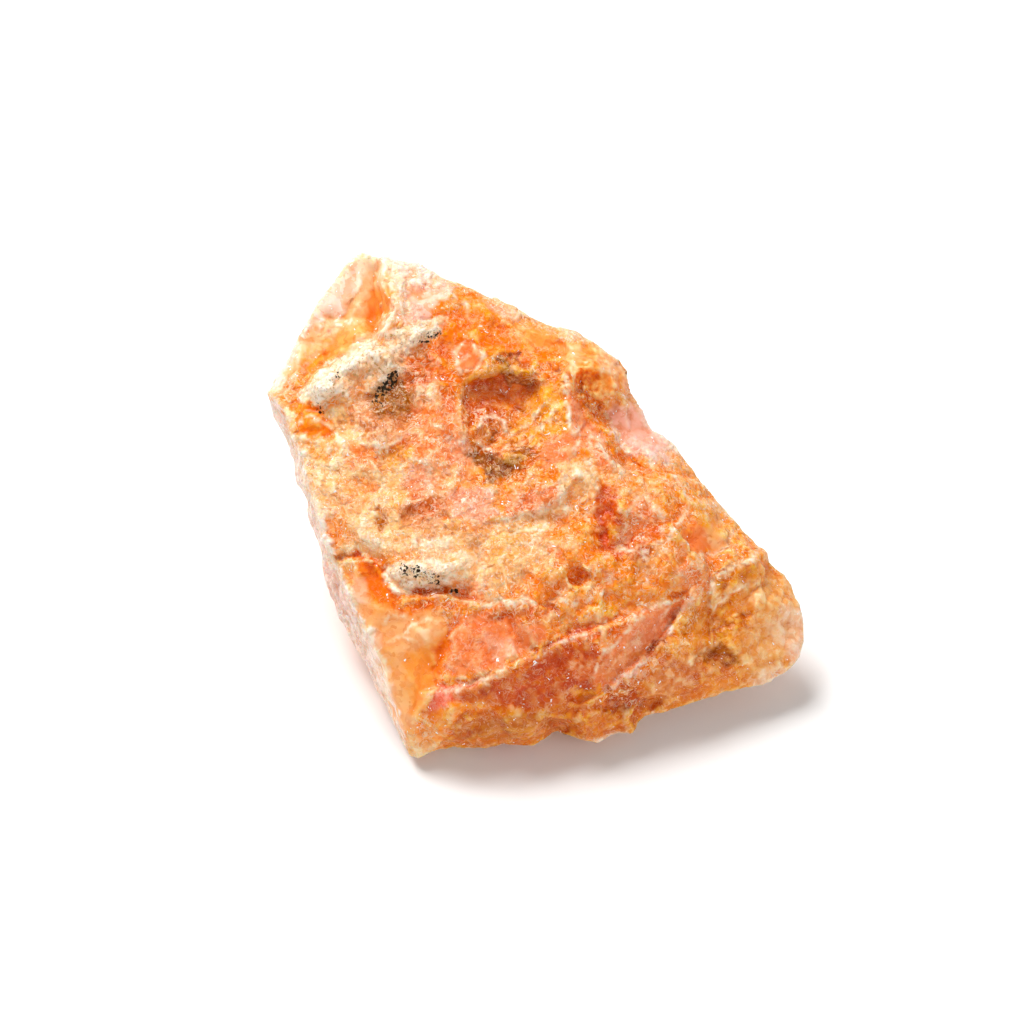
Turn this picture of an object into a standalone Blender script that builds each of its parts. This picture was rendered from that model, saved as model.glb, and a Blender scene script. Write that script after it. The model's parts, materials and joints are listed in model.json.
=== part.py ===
"""Rough pink opal: one broken lump of stone that lies on a small flat spot of its underside.

The stone starts as a closed shell of hand-placed corners, given as they show from the front, 48 degrees above
the table. Its edges are split into a fine skin, flake scars, hollows and lumps are pressed into it, and the
skin is roughened, thinned out and pressed flat at the foot. The origin is on that flat foot.
Lengths are in millimetres up to the last step, which turns them into metres.
"""

import math
from typing import NamedTuple

import bmesh
import bpy
import numpy as np
from mathutils import Vector, noise
from mathutils.geometry import delaunay_2d_cdt

# Driving sizes
STONE_LENGTH = 44.4  # the longest line across the stone, as it shows from the front
STONE_LENGTH_PX = 592.0  # the same line in pixels of the picture that the corners are placed on
VIEW_ELEVATION = math.radians(48.0)  # of the line of sight above the table
VIEW_DISTANCE = 300.0  # from the eye to the picture plane through the stone
PICTURE_MIDDLE = (512.0, 512.0)  # the pixel on the line of sight
MIDDLE_ABOVE_FOOT = (1.66, 2.07, 12.0)  # from the row origin back, to the point where sight meets that plane

# The broad face that looks up and to the front: its depth at the picture's middle, and how it leans away
FACE_DEPTH = 3.0
FACE_LEAN = 0.33

SIGHT = np.array((0.0, -math.cos(VIEW_ELEVATION), math.sin(VIEW_ELEVATION)))  # towards the viewer

MILLIMETRE = 0.001
SKIN_EDGE = 0.5  # the longest edge of the shell before its relief is pressed in
FINAL_TRIANGLES = 9300
SMOOTHING_STEPS = 2  # take the knife edge off the shell's crests
SHARP_ANGLE = math.radians(35)  # steeper edges than this are shaded sharp
LEDGE_SHARPNESS = 0.16  # how far a ledge needs to drop
FOOT_SNAP = 0.06  # what ends lower than this after thinning the mesh belongs to the flat foot

# The outline, clockwise from the rear peak: pixels across and down, and the rise from the broad face's plane
OUTLINE = (
    (362, 250, -1.3), (380, 256, -1.0), (398, 258, -0.9), (418, 261, -0.7), (435, 270, -0.6),
    (440, 277, -0.7), (465, 285, -0.7), (492, 296, -0.7), (515, 307, -0.7), (535, 318, -0.9),
    (560, 328, -1.1), (580, 333, -1.2), (600, 346, -1.5), (620, 358, -2.0), (627, 372, -2.5),
    (630, 389, -3.2), (646, 413, -3.7), (654, 432, -4.0), (672, 444, -4.1), (685, 460, -4.3),
    (700, 478, -4.5), (715, 499, -4.9), (730, 517, -5.3), (742, 530, -5.6), (757, 545, -6.2),
    (770, 552, -6.6), (772, 562, -6.7), (786, 574, -7.1), (797, 596, -7.5), (801, 610, -7.6),
    (807, 637, -7.7), (800, 655, -7.7), (787, 671, -7.8), (770, 684, -7.9), (750, 688, -7.8),
    (725, 694, -7.7), (700, 699, -7.6), (680, 706, -7.5), (660, 714, -7.4), (646, 720, -7.2),
    (634, 735, -7.1), (615, 733, -7.2), (600, 742, -6.9), (582, 742, -6.8), (565, 737, -7.0),
    (556, 733, -7.7), (545, 742, -7.1), (532, 746, -6.9), (505, 744, -6.9), (490, 749, -6.9),
    (445, 749, -7.0), (430, 752, -7.0), (420, 760, -7.1), (408, 755, -7.8), (399, 741, -8.3),
    (390, 722, -8.7), (383, 701, -8.9), (375, 681, -9.1), (363, 661, -9.2), (352, 643, -9.2),
    (343, 622, -9.2), (331, 592, -9.2), (323, 570, -9.0), (317, 541, -8.6), (308, 514, -8.2),
    (308, 503, -8.0), (299, 485, -7.6), (293, 461, -7.1), (285, 443, -6.7), (276, 421, -6.0),
    (263, 391, -5.0), (270, 381, -4.8), (288, 360, -4.2), (295, 340, -3.6), (307, 320, -3.1),
    (326, 290, -2.5), (344, 260, -1.8),
)

# Lines of corners on the side that faces the viewer, each a crest, an edge or the bed of a hollow
FACE_LINES = {
    "left_wall_top": (
        (275, 398, -2.6), (285, 420, -1.8), (296, 445, -1.6), (305, 475, -1.4), (320, 505, -1.5),
        (328, 540, -1.8), (340, 570, -2.2), (352, 600, -2.6), (368, 632, -3.0), (383, 658, -3.4),
        (393, 690, -4.2), (400, 718, -5.0), (410, 742, -5.9),
    ),
    "shoulder_crest": (
        (300, 400, -0.9), (318, 378, -0.2), (345, 361, 0.2), (372, 345, 0.3), (392, 305, 0.3),
        (384, 281, 0.1), (387, 264, -0.3),
    ),
    "shoulder_bed": ((300, 370, -2.2), (330, 345, -2.2), (350, 315, -2.0), (355, 280, -1.6)),
    "shoulder_pocket": ((376, 318, -2.2), (374, 278, -1.5)),
    "rear_strip": ((430, 345, 0.3), (450, 300, 0.1), (500, 325, 0.1), (540, 345, 0.0)),
    "hollow_lip": (
        (464, 425, 0.1), (464, 385, 0.2), (502, 368, 0.1), (535, 378, 0.1), (569, 370, 0.5),
        (570, 425, 0.5),
    ),
    "hollow_bed": ((480, 402, -1.2), (510, 400, -1.5), (530, 420, -0.8), (500, 432, -1.0)),
    "right_crest": ((570, 425, 0.5), (600, 450, 0.2), (640, 484, -0.1), (672, 522, -0.5), (692, 556, -1.1)),
    "right_valley": ((590, 388, -1.6), (605, 420, -1.8), (625, 452, -1.5), (655, 468, -1.7)),
    "right_slope": ((610, 368, -0.9), (632, 430, -2.4), (690, 500, -2.2), (720, 535, -3.0), (745, 550, -3.8)),
    "upper_left": ((350, 430, -0.6), (330, 480, -0.9), (380, 470, -0.3), (420, 430, -0.2)),
    "middle": ((440, 500, 0.0), (480, 540, 0.2), (500, 470, -0.3)),
    "yellow_cushion": ((345, 560, -1.0), (360, 530, -0.3), (400, 560, 0.1), (450, 575, 0.3)),
    "below_cushion": ((362, 585, -1.7), (380, 600, -1.3), (430, 610, -0.6), (470, 620, -0.4)),
    "middle_right": ((520, 610, 0.0), (560, 580, 0.4), (600, 560, 0.3), (620, 520, 0.2), (560, 520, 0.5)),
    "lower_left": ((400, 660, -2.6), (430, 650, -1.8), (480, 650, -0.9)),
    "lower_corner": ((420, 690, -3.0), (412, 715, -4.1)),
    "front_crest": (
        (425, 700, -2.8), (437, 686, -1.9), (460, 684, -1.4), (487, 678, -1.0), (510, 664, -0.6),
        (540, 648, -0.4), (570, 632, -0.4), (600, 622, -0.5), (632, 612, -0.8), (660, 600, -1.2),
        (688, 585, -1.7), (692, 556, -1.1),
    ),
    "flake_edge": (
        (582, 701, -3.7), (600, 696, -3.2), (617, 678, -2.6), (640, 661, -2.6), (660, 640, -2.6),
        (676, 615, -2.5), (705, 598, -2.9), (715, 574, -2.4), (735, 563, -2.8), (754, 556, -3.6),
    ),
    "front_wall": (
        (450, 722, -4.0), (500, 718, -3.8), (545, 712, -3.8), (585, 722, -4.4), (630, 708, -4.9),
        (660, 690, -4.7), (700, 672, -4.8), (730, 675, -6.0),
    ),
    "honey_step": ((690, 640, -3.6), (715, 620, -4.0), (740, 600, -4.2), (780, 610, -5.6)),
    "honey_end": ((745, 655, -5.4), (760, 630, -5.2), (785, 645, -6.3)),
}

# Corners of the hidden back and underside, in the row frame. The foot's reach below the table, and are
# pressed flat onto it
BACK_CORNERS = (
    (-12.9, 16.2, 18.3), (-15.0, 13.5, 13.0), (-8.0, 16.5, 12.0), (1.0, 13.0, 12.5), (8.0, 6.5, 8.0),
    (14.0, 0.0, 5.5), (-16.5, 8.0, 7.0), (-13.0, 11.5, 3.5), (-6.0, 14.0, 2.5), (3.0, 10.5, 2.2),
    (9.0, 4.5, 2.0), (14.0, -3.5, 2.2), (-13.5, 2.0, 2.2), (-10.5, -7.0, 1.2),
)
FOOT_CORNERS = (
    (-6.5, 2.5, -0.3), (-3.0, 5.5, -0.3), (2.5, 4.5, -0.3), (5.5, 0.5, -0.3), (4.5, -4.5, -0.3),
    (-1.5, -6.5, -0.3), (-6.0, -3.0, -0.3),
)


class Scar(NamedTuple):
    """One form pressed into the skin along a line, with its height and width in millimetres.

    A ledge drops on the right of its line as it is walked, and the drop fades over the width.
    """

    kind: str
    height: float
    width: float
    line: tuple


# Forms of the front, with their lines in pixels
FRONT_RELIEF = {
    "shoulder_scar": Scar(
        "ledge", 0.9, 2.2,
        ((382, 266), (381, 283), (391, 304), (387, 318), (370, 344), (344, 359), (318, 376), (302, 396)),
    ),
    "shoulder_flake": Scar("ledge", 0.35, 1.2, ((357, 272), (358, 292), (345, 322), (325, 318), (302, 330))),
    "hollow_left": Scar("ledge", 0.7, 1.6, ((464, 432), (463, 405), (468, 384), (500, 370), (536, 380))),
    "hollow_right": Scar("ledge", 0.35, 1.5, ((560, 372), (556, 400), (530, 440), (500, 456))),
    "valley_wall": Scar("ledge", 0.7, 1.6, ((566, 350), (572, 385), (586, 418), (612, 448), (650, 470))),
    "cushion_foot": Scar(
        "ledge", 0.9, 1.6,
        ((470, 600), (450, 592), (410, 596), (388, 582), (380, 566), (366, 556), (340, 560)),
    ),
    "middle_flake": Scar("ledge", 0.5, 1.3, ((548, 612), (530, 604), (508, 601), (488, 606))),
    "pink_pocket": Scar("ledge", 0.4, 2.0, ((500, 520), (540, 513), (560, 500), (576, 482))),
    "front_scar": Scar(
        "ledge", 0.6, 1.8,
        ((692, 590), (632, 616), (560, 640), (512, 666), (470, 686), (434, 690)),
    ),
    "flake_scar": Scar(
        "ledge", 0.9, 1.8,
        ((684, 603), (661, 640), (640, 661), (617, 679), (600, 697), (578, 702)),
    ),
    "step_scar": Scar("ledge", 0.8, 1.8, ((756, 555), (736, 563), (714, 574), (710, 592), (712, 632))),
    "round_flake": Scar("ledge", 0.4, 1.2, ((732, 540), (724, 551), (700, 554), (690, 562))),
    "honey_scar": Scar("ledge", 0.5, 1.4, ((748, 615), (722, 622), (713, 636), (712, 650))),
    "lower_groove": Scar("groove", 0.35, 0.8, ((456, 622), (446, 640), (436, 660))),
    "pit": Scar("hollow", 1.0, 0.7, ((577, 578),)),
    "orange_dent": Scar("hollow", 0.5, 1.4, ((604, 515), (606, 540))),
    "crust": Scar("lump", 0.35, 1.3, ((322, 390), (345, 372), (380, 360))),
    "crust_knob_1": Scar("lump", 0.45, 0.7, ((327, 385),)),
    "crust_knob_2": Scar("lump", 0.5, 0.8, ((352, 366),)),
    "crust_knob_3": Scar("lump", 0.4, 0.7, ((386, 354),)),
    "crust_end": Scar("lump", 0.4, 0.8, ((412, 337), (434, 326))),
    "cream_ridge": Scar("ridge", 0.4, 0.7, ((386, 330), (400, 296), (404, 270))),
    "second_crust": Scar("lump", 0.5, 1.1, ((400, 572), (445, 570))),
    "cushion": Scar("lump", 0.5, 1.6, ((362, 540),)),
    "arc_ridge": Scar("ridge", 0.35, 0.8, ((505, 522), (545, 512), (568, 492), (584, 474))),
    "wall_lump_left": Scar("lump", 0.4, 1.3, ((455, 728),)),
    "wall_lump_middle": Scar("lump", 0.55, 1.5, ((515, 722),)),
    "wall_lump_right": Scar("lump", 0.6, 1.6, ((595, 724),)),
    "wall_fold": Scar("groove", 0.45, 0.9, ((545, 730), (560, 712), (600, 705), (650, 706))),
    "front_dent": Scar("hollow", 0.6, 1.2, ((640, 697),)),
    "honey_lump": Scar("lump", 0.6, 1.6, ((762, 604),)),
    "honey_foot": Scar("lump", 0.45, 1.3, ((742, 668),)),
    "honey_dent": Scar("hollow", 0.6, 1.1, ((716, 654),)),
}

# Forms of the hidden sides, with their lines in the row frame in millimetres
BACK_RELIEF = {
    "rear_scoop": Scar("hollow", 1.3, 4.0, ((-5.0, 16.0, 8.0), (2.0, 13.5, 9.0))),
    "rear_right_scoop": Scar("hollow", 1.1, 3.2, ((10.5, 5.0, 5.5),)),
    "left_scoop": Scar("hollow", 0.9, 2.8, ((-16.5, 9.5, 10.5),)),
    "rear_left_lump": Scar("lump", 0.8, 2.6, ((-12.0, 14.5, 7.0),)),
    "under_scoop": Scar("hollow", 0.7, 2.4, ((-12.5, -1.0, 2.5),)),
    "rear_ridge": Scar("ridge", 0.7, 1.2, ((-9.0, 16.5, 15.0), (-8.0, 16.0, 5.0))),
    "right_rib": Scar("ridge", 0.6, 1.1, ((7.0, 8.5, 12.0), (6.5, 7.5, 3.0))),
}

# The broken skin, coarse to fine: the size of its chips or lumps, and how far they stand out
CHIPS = ((5.0, 0.5), (2.3, 0.26))
LUMPS = ((3.0, 0.26),)
CHIP_WAVE = (1.7, 0.35)  # size and reach of the waves that keep the chips' edges from running straight
NOISE_SEED = 7  # fixes the waves and tilts, which Blender otherwise draws anew in each session
CHIP_BLEND = 0.12  # a step between two chips takes this share of their size
CHIP_SPREAD = 7.3  # takes neighbouring chips to far places of the noise, so that their tilts differ
EDGE_WAVE = (3.5, 0.22)  # size and reach of the waves that bend the shell's crests and edges
RIM_MARGIN = 1.2  # the relief fades out over this width inside the outline
RIM_ROUGHNESS = 0.35  # share of the waves, chips and lumps that is left on the outline itself

# Clean conchoidal breaks of the front, where the skin is nearly smooth: middle in pixels, radius in mm
SMOOTH_BREAKS = (
    ((345, 300), 3.4), ((322, 335), 2.6), ((590, 362), 2.6), ((635, 430), 2.2), ((645, 635), 2.6),
    ((610, 668), 2.1), ((395, 625), 3.0), ((415, 670), 3.2), ((460, 645), 2.8), ((708, 540), 1.5),
)
SMOOTH_ROUGHNESS = 0.3  # share of the chips and lumps that is left on them


def clear_scene():
    """Removes whatever the open file holds."""
    for thing in list(bpy.data.objects):
        bpy.data.objects.remove(thing)


def picture_mm(pixels):
    """Pixels across and down as millimetres across and up the picture plane."""
    scale = STONE_LENGTH / STONE_LENGTH_PX
    return (pixels[0] - PICTURE_MIDDLE[0]) * scale, (PICTURE_MIDDLE[1] - pixels[1]) * scale


def from_view(across, up, near):
    """A point across, up and nearer than the picture plane, in the row frame, in millimetres."""
    sine, cosine = math.sin(VIEW_ELEVATION), math.cos(VIEW_ELEVATION)
    return Vector((
        across - MIDDLE_ABOVE_FOOT[0],
        up * sine - near * cosine - MIDDLE_ABOVE_FOOT[1],
        up * cosine + near * sine + MIDDLE_ABOVE_FOOT[2],
    ))


def to_picture(points):
    """Where points of the row frame, as rows in millimetres, show in the picture, in millimetres."""
    sine, cosine = math.sin(VIEW_ELEVATION), math.cos(VIEW_ELEVATION)
    across = points[:, 0] + MIDDLE_ABOVE_FOOT[0]
    back = points[:, 1] + MIDDLE_ABOVE_FOOT[1]
    high = points[:, 2] - MIDDLE_ABOVE_FOOT[2]
    up = back * sine + high * cosine
    near = high * sine - back * cosine
    magnified = VIEW_DISTANCE / (VIEW_DISTANCE - near)
    return np.stack([across * magnified, up * magnified], axis=1)


def face_corner(corner):
    """A corner given by its pixel and its rise from the broad face, in the row frame."""
    across, up = picture_mm(corner)
    near = FACE_DEPTH - FACE_LEAN * up + corner[2]
    shrink = (VIEW_DISTANCE - near) / VIEW_DISTANCE
    return from_view(across * shrink, up * shrink, near)


def sheet_of(corners, links):
    """Triangles between the outline and the corners inside it, which keep the links as edges.

    The corners are in the row frame, the outline's first, and the triangles hold their numbers.
    """
    flat = [Vector(p) for p in to_picture(np.array(corners, float))]
    ring = list(range(len(OUTLINE)))
    _, _, faces, numbers, _, _ = delaunay_2d_cdt(flat, links, [ring], 1, 1e-6)
    return [[numbers[v][0] for v in face] for face in faces]


def refine(shell):
    """Splits edges until none is longer than the skin's, without moving the shell's facets."""
    while True:
        long_edges = [edge for edge in shell.edges if edge.calc_length() > SKIN_EDGE]
        if not long_edges:
            return
        bmesh.ops.subdivide_edges(shell, edges=long_edges, cuts=1)
        split = [face for face in shell.faces if len(face.verts) > 3]
        bmesh.ops.triangulate(shell, faces=split, quad_method="SHORT_EDGE", ngon_method="BEAUTY")


def block_out():
    """The shell of flat facets through all the corners, as a closed fine mesh in millimetres."""
    corners = [face_corner(c) for c in OUTLINE]
    rim = len(corners)
    places, links = {}, []
    for line in FACE_LINES.values():
        steps = []
        for corner in line:
            if corner[:2] not in places:
                places[corner[:2]] = len(corners)
                corners.append(face_corner(corner))
            steps.append(places[corner[:2]])
        links += list(zip(steps, steps[1:]))
    front = sheet_of(corners, links)
    hidden = [Vector(c) for c in BACK_CORNERS + FOOT_CORNERS]
    back = sheet_of(corners[:rim] + hidden, [])
    inner = len(corners) - rim
    back = [[v if v < rim else v + inner for v in face] for face in back]
    corners += hidden

    shell = bmesh.new()
    verts = [shell.verts.new(c) for c in corners]
    for face in front + [face[::-1] for face in back]:
        shell.faces.new([verts[v] for v in face])
    bmesh.ops.recalc_face_normals(shell, faces=shell.faces)
    refine(shell)
    mesh = bpy.data.meshes.new("shell")
    shell.to_mesh(mesh)
    shell.free()
    return mesh


def evaluated(mesh, **modifiers):
    """The mesh after modifiers, each named by its type with its settings."""
    carrier = bpy.data.objects.new("carrier", mesh)
    bpy.context.scene.collection.objects.link(carrier)
    for kind, settings in modifiers.items():
        modifier = carrier.modifiers.new(kind.title(), kind)
        for name, value in settings.items():
            setattr(modifier, name, value)
    bpy.context.view_layer.update()
    graph = bpy.context.evaluated_depsgraph_get()
    made = bpy.data.meshes.new_from_object(carrier.evaluated_get(graph))
    bpy.data.objects.remove(carrier)
    return made


def read_points(mesh):
    """The mesh's points, one row each."""
    points = np.empty(len(mesh.vertices) * 3, np.float32)
    mesh.vertices.foreach_get("co", points)
    return points.reshape(-1, 3).astype(float)


def read_normals(mesh):
    """The normals at the mesh's points, one row each."""
    normals = np.empty(len(mesh.vertices) * 3, np.float32)
    mesh.vertex_normals.foreach_get("vector", normals)
    return normals.reshape(-1, 3).astype(float)


def write_points(mesh, points):
    """Moves the mesh's points to the rows' places."""
    mesh.vertices.foreach_set("co", points.astype(np.float32).ravel())
    mesh.update()


def distance_to_line(points, line):
    """Distance from each point to a line of straight runs, and its side in the plane: +1 on the right."""
    line = np.array(line, float)
    best = np.full(len(points), np.inf)
    side = np.ones(len(points))
    if len(line) == 1:
        return np.linalg.norm(points - line[0], axis=1), side
    for start, end in zip(line, line[1:]):
        run = end - start
        share = np.clip((points - start) @ run / (run @ run), 0.0, 1.0)
        gap = points - start - share[:, None] * run
        distance = np.linalg.norm(gap, axis=1)
        nearer = distance < best
        best[nearer] = distance[nearer]
        if points.shape[1] == 2:
            turn = run[1] * (points[:, 0] - start[0]) - run[0] * (points[:, 1] - start[1])
            side[nearer] = np.where(turn[nearer] > 0, 1.0, -1.0)
    return best, side


def end_fade(points, line, width):
    """Fades a ledge out past the two ends of its line, so that it doesn't stop with a step."""
    line = np.array(line, float)
    first, last = line[0] - line[1], line[-1] - line[-2]
    past_first = (points - line[0]) @ (first / np.linalg.norm(first))
    past_last = (points - line[-1]) @ (last / np.linalg.norm(last))
    return np.exp(-((np.clip(np.maximum(past_first, past_last), 0.0, None) / width) ** 2))


def relief(scar, points, line):
    """How far the surface stands out at each point because of one scar along the line."""
    distance, side = distance_to_line(points, line)
    bell = scar.height * np.exp(-((distance / scar.width) ** 2))
    if scar.kind in ("lump", "ridge"):
        return bell
    if scar.kind in ("hollow", "groove"):
        return -bell
    edge = 0.5 + 0.5 * np.tanh(side * distance / LEDGE_SHARPNESS)
    return -scar.height * edge * np.exp(-distance / scar.width) * end_fade(points, line, 0.5 * scar.width)


def rim_margin(picture):
    """How far inside the outline each point shows, from 0 on it to 1 at the margin's width and beyond."""
    outline = [picture_mm(corner) for corner in OUTLINE + OUTLINE[:1]]
    inside, _ = distance_to_line(picture, outline)
    return np.clip(inside / RIM_MARGIN, 0.0, 1.0)


def facing_viewer(normals):
    """From 0 on the hidden sides to 1 where the surface clearly faces the viewer."""
    return np.clip((normals @ SIGHT + 0.15) / 0.35, 0.0, 1.0)


def press_relief(mesh):
    """Presses the front forms in along the line of sight, and the hidden ones along the surface's normal."""
    points, normals = read_points(mesh), read_normals(mesh)
    picture = to_picture(points)
    margin = rim_margin(picture)
    along_sight = np.zeros(len(points))
    for scar in FRONT_RELIEF.values():
        along_sight += relief(scar, picture, [picture_mm(pixel) for pixel in scar.line])
    along_normal = np.zeros(len(points))
    for scar in BACK_RELIEF.values():
        along_normal += relief(scar, points, scar.line)
    along_sight *= margin * facing_viewer(normals)
    along_normal *= margin * (1.0 - facing_viewer(normals))
    write_points(mesh, points + along_sight[:, None] * SIGHT + along_normal[:, None] * normals)


def waves(points, size, reach):
    """A shift for each point that turns slowly from place to place."""
    return np.array([noise.noise_vector(Vector(point) / size) for point in points]) * reach * 2.0


def chips(points, size, height):
    """Flat chips of about the size, each tilted its own way, so that they meet in small steps."""
    lift = []
    for point in points + waves(points, *CHIP_WAVE):
        place = Vector(point) / size
        reaches, sites = noise.voronoi(place)
        own, next_one = ((place - site).dot(noise.noise_vector(site * CHIP_SPREAD)) for site in sites[:2])
        shared = 0.5 * max(0.0, 1.0 - (reaches[1] - reaches[0]) / CHIP_BLEND)
        lift.append(2.0 * height * (own * (1.0 - shared) + next_one * shared))
    return np.array(lift)


def lumps(points, size, height):
    """Round lumps of about the size, with sharp valleys between them."""
    ridged = [noise.turbulence(Vector(point) / size, 2, False) for point in points]
    return height * (np.array(ridged) - np.mean(ridged))


def bend_edges(mesh):
    """Bends the shell's straight edges and flat facets a little, least on the outline."""
    points = read_points(mesh)
    share = RIM_ROUGHNESS + (1.0 - RIM_ROUGHNESS) * rim_margin(to_picture(points))
    write_points(mesh, points + share[:, None] * waves(points, *EDGE_WAVE))


def roughen(mesh):
    """Gives the skin its chips and lumps, fewer on the outline and on the smooth breaks."""
    points, normals = read_points(mesh), read_normals(mesh)
    lift = sum(chips(points, size, height) for size, height in CHIPS)
    lift += sum(lumps(points, size, height) for size, height in LUMPS)
    picture = to_picture(points)
    lift *= RIM_ROUGHNESS + (1.0 - RIM_ROUGHNESS) * rim_margin(picture)
    smooth = np.zeros(len(points))
    for middle, radius in SMOOTH_BREAKS:
        distance = np.linalg.norm(picture - picture_mm(middle), axis=1)
        smooth = np.maximum(smooth, np.clip(1.6 - 1.6 * distance / radius, 0.0, 1.0))
    lift *= 1.0 - (1.0 - SMOOTH_ROUGHNESS) * smooth * facing_viewer(normals)
    write_points(mesh, points + lift[:, None] * normals)


def flatten_foot(mesh, reach):
    """Presses all that lies below the reach, in millimetres, flat onto the table."""
    points = read_points(mesh)
    points[points[:, 2] < reach, 2] = 0.0
    write_points(mesh, points)


def opal_material():
    """Common opal: a waxy, slightly translucent salmon body."""
    material = bpy.data.materials.new("pink_opal")
    material.use_nodes = True
    shader = material.node_tree.nodes["Principled BSDF"]
    shader.inputs["Base Color"].default_value = (0.87, 0.36, 0.16, 1.0)
    shader.inputs["Roughness"].default_value = 0.38
    shader.inputs["Metallic"].default_value = 0.0
    return material


def build_stone():
    """Makes the stone, the one object of the model."""
    noise.seed_set(NOISE_SEED)
    mesh = evaluated(block_out(), SMOOTH={"factor": 0.5, "iterations": SMOOTHING_STEPS})
    bend_edges(mesh)
    press_relief(mesh)
    roughen(mesh)
    flatten_foot(mesh, 0.0)
    kept_share = FINAL_TRIANGLES / len(mesh.polygons)
    mesh = evaluated(mesh, DECIMATE={"decimate_type": "COLLAPSE", "ratio": kept_share})
    flatten_foot(mesh, FOOT_SNAP)
    write_points(mesh, read_points(mesh) * MILLIMETRE)
    mesh.shade_smooth()
    mesh.set_sharp_from_angle(angle=SHARP_ANGLE)
    mesh.materials.append(opal_material())
    stone = bpy.data.objects.new("opal_stone", mesh)
    bpy.context.scene.collection.objects.link(stone)
    return stone


clear_scene()
build_stone()
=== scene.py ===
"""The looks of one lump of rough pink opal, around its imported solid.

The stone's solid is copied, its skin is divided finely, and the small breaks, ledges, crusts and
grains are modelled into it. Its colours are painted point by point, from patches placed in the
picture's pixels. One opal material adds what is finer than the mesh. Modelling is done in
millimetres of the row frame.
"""

import json
import logging
import math
from dataclasses import dataclass, field
from enum import Enum
from itertools import product
from typing import NamedTuple

import bpy
import numpy as np
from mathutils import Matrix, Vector

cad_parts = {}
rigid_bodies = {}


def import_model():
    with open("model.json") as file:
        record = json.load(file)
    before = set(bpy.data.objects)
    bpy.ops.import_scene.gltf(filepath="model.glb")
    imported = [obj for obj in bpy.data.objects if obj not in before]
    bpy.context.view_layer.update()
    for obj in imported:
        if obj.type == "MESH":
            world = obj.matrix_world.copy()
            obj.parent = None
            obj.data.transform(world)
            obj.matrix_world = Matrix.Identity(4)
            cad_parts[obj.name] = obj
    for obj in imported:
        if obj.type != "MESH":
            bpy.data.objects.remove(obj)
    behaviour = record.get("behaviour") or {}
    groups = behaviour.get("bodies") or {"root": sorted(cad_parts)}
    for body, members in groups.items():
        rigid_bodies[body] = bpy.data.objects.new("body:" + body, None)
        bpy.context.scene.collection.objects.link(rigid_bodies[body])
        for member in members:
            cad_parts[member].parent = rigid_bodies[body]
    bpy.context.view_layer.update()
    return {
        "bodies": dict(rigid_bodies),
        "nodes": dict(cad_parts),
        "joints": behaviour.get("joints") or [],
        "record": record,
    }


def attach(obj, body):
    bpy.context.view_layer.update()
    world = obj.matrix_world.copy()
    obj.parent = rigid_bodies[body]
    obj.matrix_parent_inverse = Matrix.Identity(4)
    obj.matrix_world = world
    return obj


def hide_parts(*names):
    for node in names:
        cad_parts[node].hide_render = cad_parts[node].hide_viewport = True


LOG = logging.getLogger("opal")
MILLIMETRE = 0.001

# A line or an outline on the front: pixels across and down in turn
Line = tuple[float, ...]
Colour = tuple[float, float, float, float]
Tree = bpy.types.NodeTree
Socket = bpy.types.NodeSocket

# Large odd numbers that scatter the bits of a cell's place, for the repeatable random numbers
AXIS_FACTORS = (73856093, 19349663, 83492791)
STIR_FACTORS = (2246822519, 3266489917)
SEED_FACTOR = 2654435761
COLUMN_STEP = 0x9E3779B9
# The largest number of 32 bits
LARGEST = 0xFFFFFFFF

# Brings the smooth noise to about -1 to 1
SWELL_GAIN = 1.4
# How far the bowls of a cell pattern lean, and how far apart their seeds are from the cells'
BOWL_LEAN = 0.48
LEAN_SEED = 977
# How many numbers apart the seeds of the three directions of a drift are
DRIFT_SEED = 31


def linear(colour: str) -> Colour:
    """Turns an sRGB hex value into the linear colour that Blender's sockets take.

    Args:
        colour: The colour, such as "#F98E3A".

    Returns:
        Red, green, blue and a full alpha.
    """
    shares = [int(colour[i:i + 2], 16) / 255 for i in (1, 3, 5)]
    # the numbers are those of the sRGB standard
    bent = [s / 12.92 if s <= 0.04045 else ((s + 0.055) / 1.055) ** 2.4 for s in shares]
    return bent[0], bent[1], bent[2], 1.0


class Tint(Enum):
    """The stone's own colours."""

    PALE_ROSE = "#FFE4D0"
    ROSE_GLASS = "#FDDACC"
    ROSE = "#F49C8A"
    PINK = "#FAC2A6"
    PEACH = "#FBBE88"
    SOFT_ORANGE = "#FCA04C"
    ORANGE = "#F8881E"
    BRIGHT_ORANGE = "#F67C06"
    FLAME = "#F4700A"
    BURNT = "#D05200"
    RUST = "#B84A06"
    SALMON = "#F6864A"
    MAUVE_PINK = "#F2A480"
    MAUVE_BROWN = "#DE8A52"
    BROWN = "#AC5E16"
    YELLOW_CREAM = "#FDC482"
    CREAM = "#FFE8C4"
    CHALK = "#FFEED0"
    TAN = "#F0B274"
    OLIVE = "#8A4A00"
    OCHRE = "#D07000"
    HONEY = "#EE8C28"
    PALE_HONEY = "#F6B468"
    AMBER = "#FCA424"
    DEEP_HONEY = "#D86E0A"
    CORAL = "#F26A50"
    SOOT = "#2E200C"

    @property
    def rgb(self) -> np.ndarray:
        """The tint's linear red, green and blue."""
        return np.array(linear(self.value)[:3])


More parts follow.
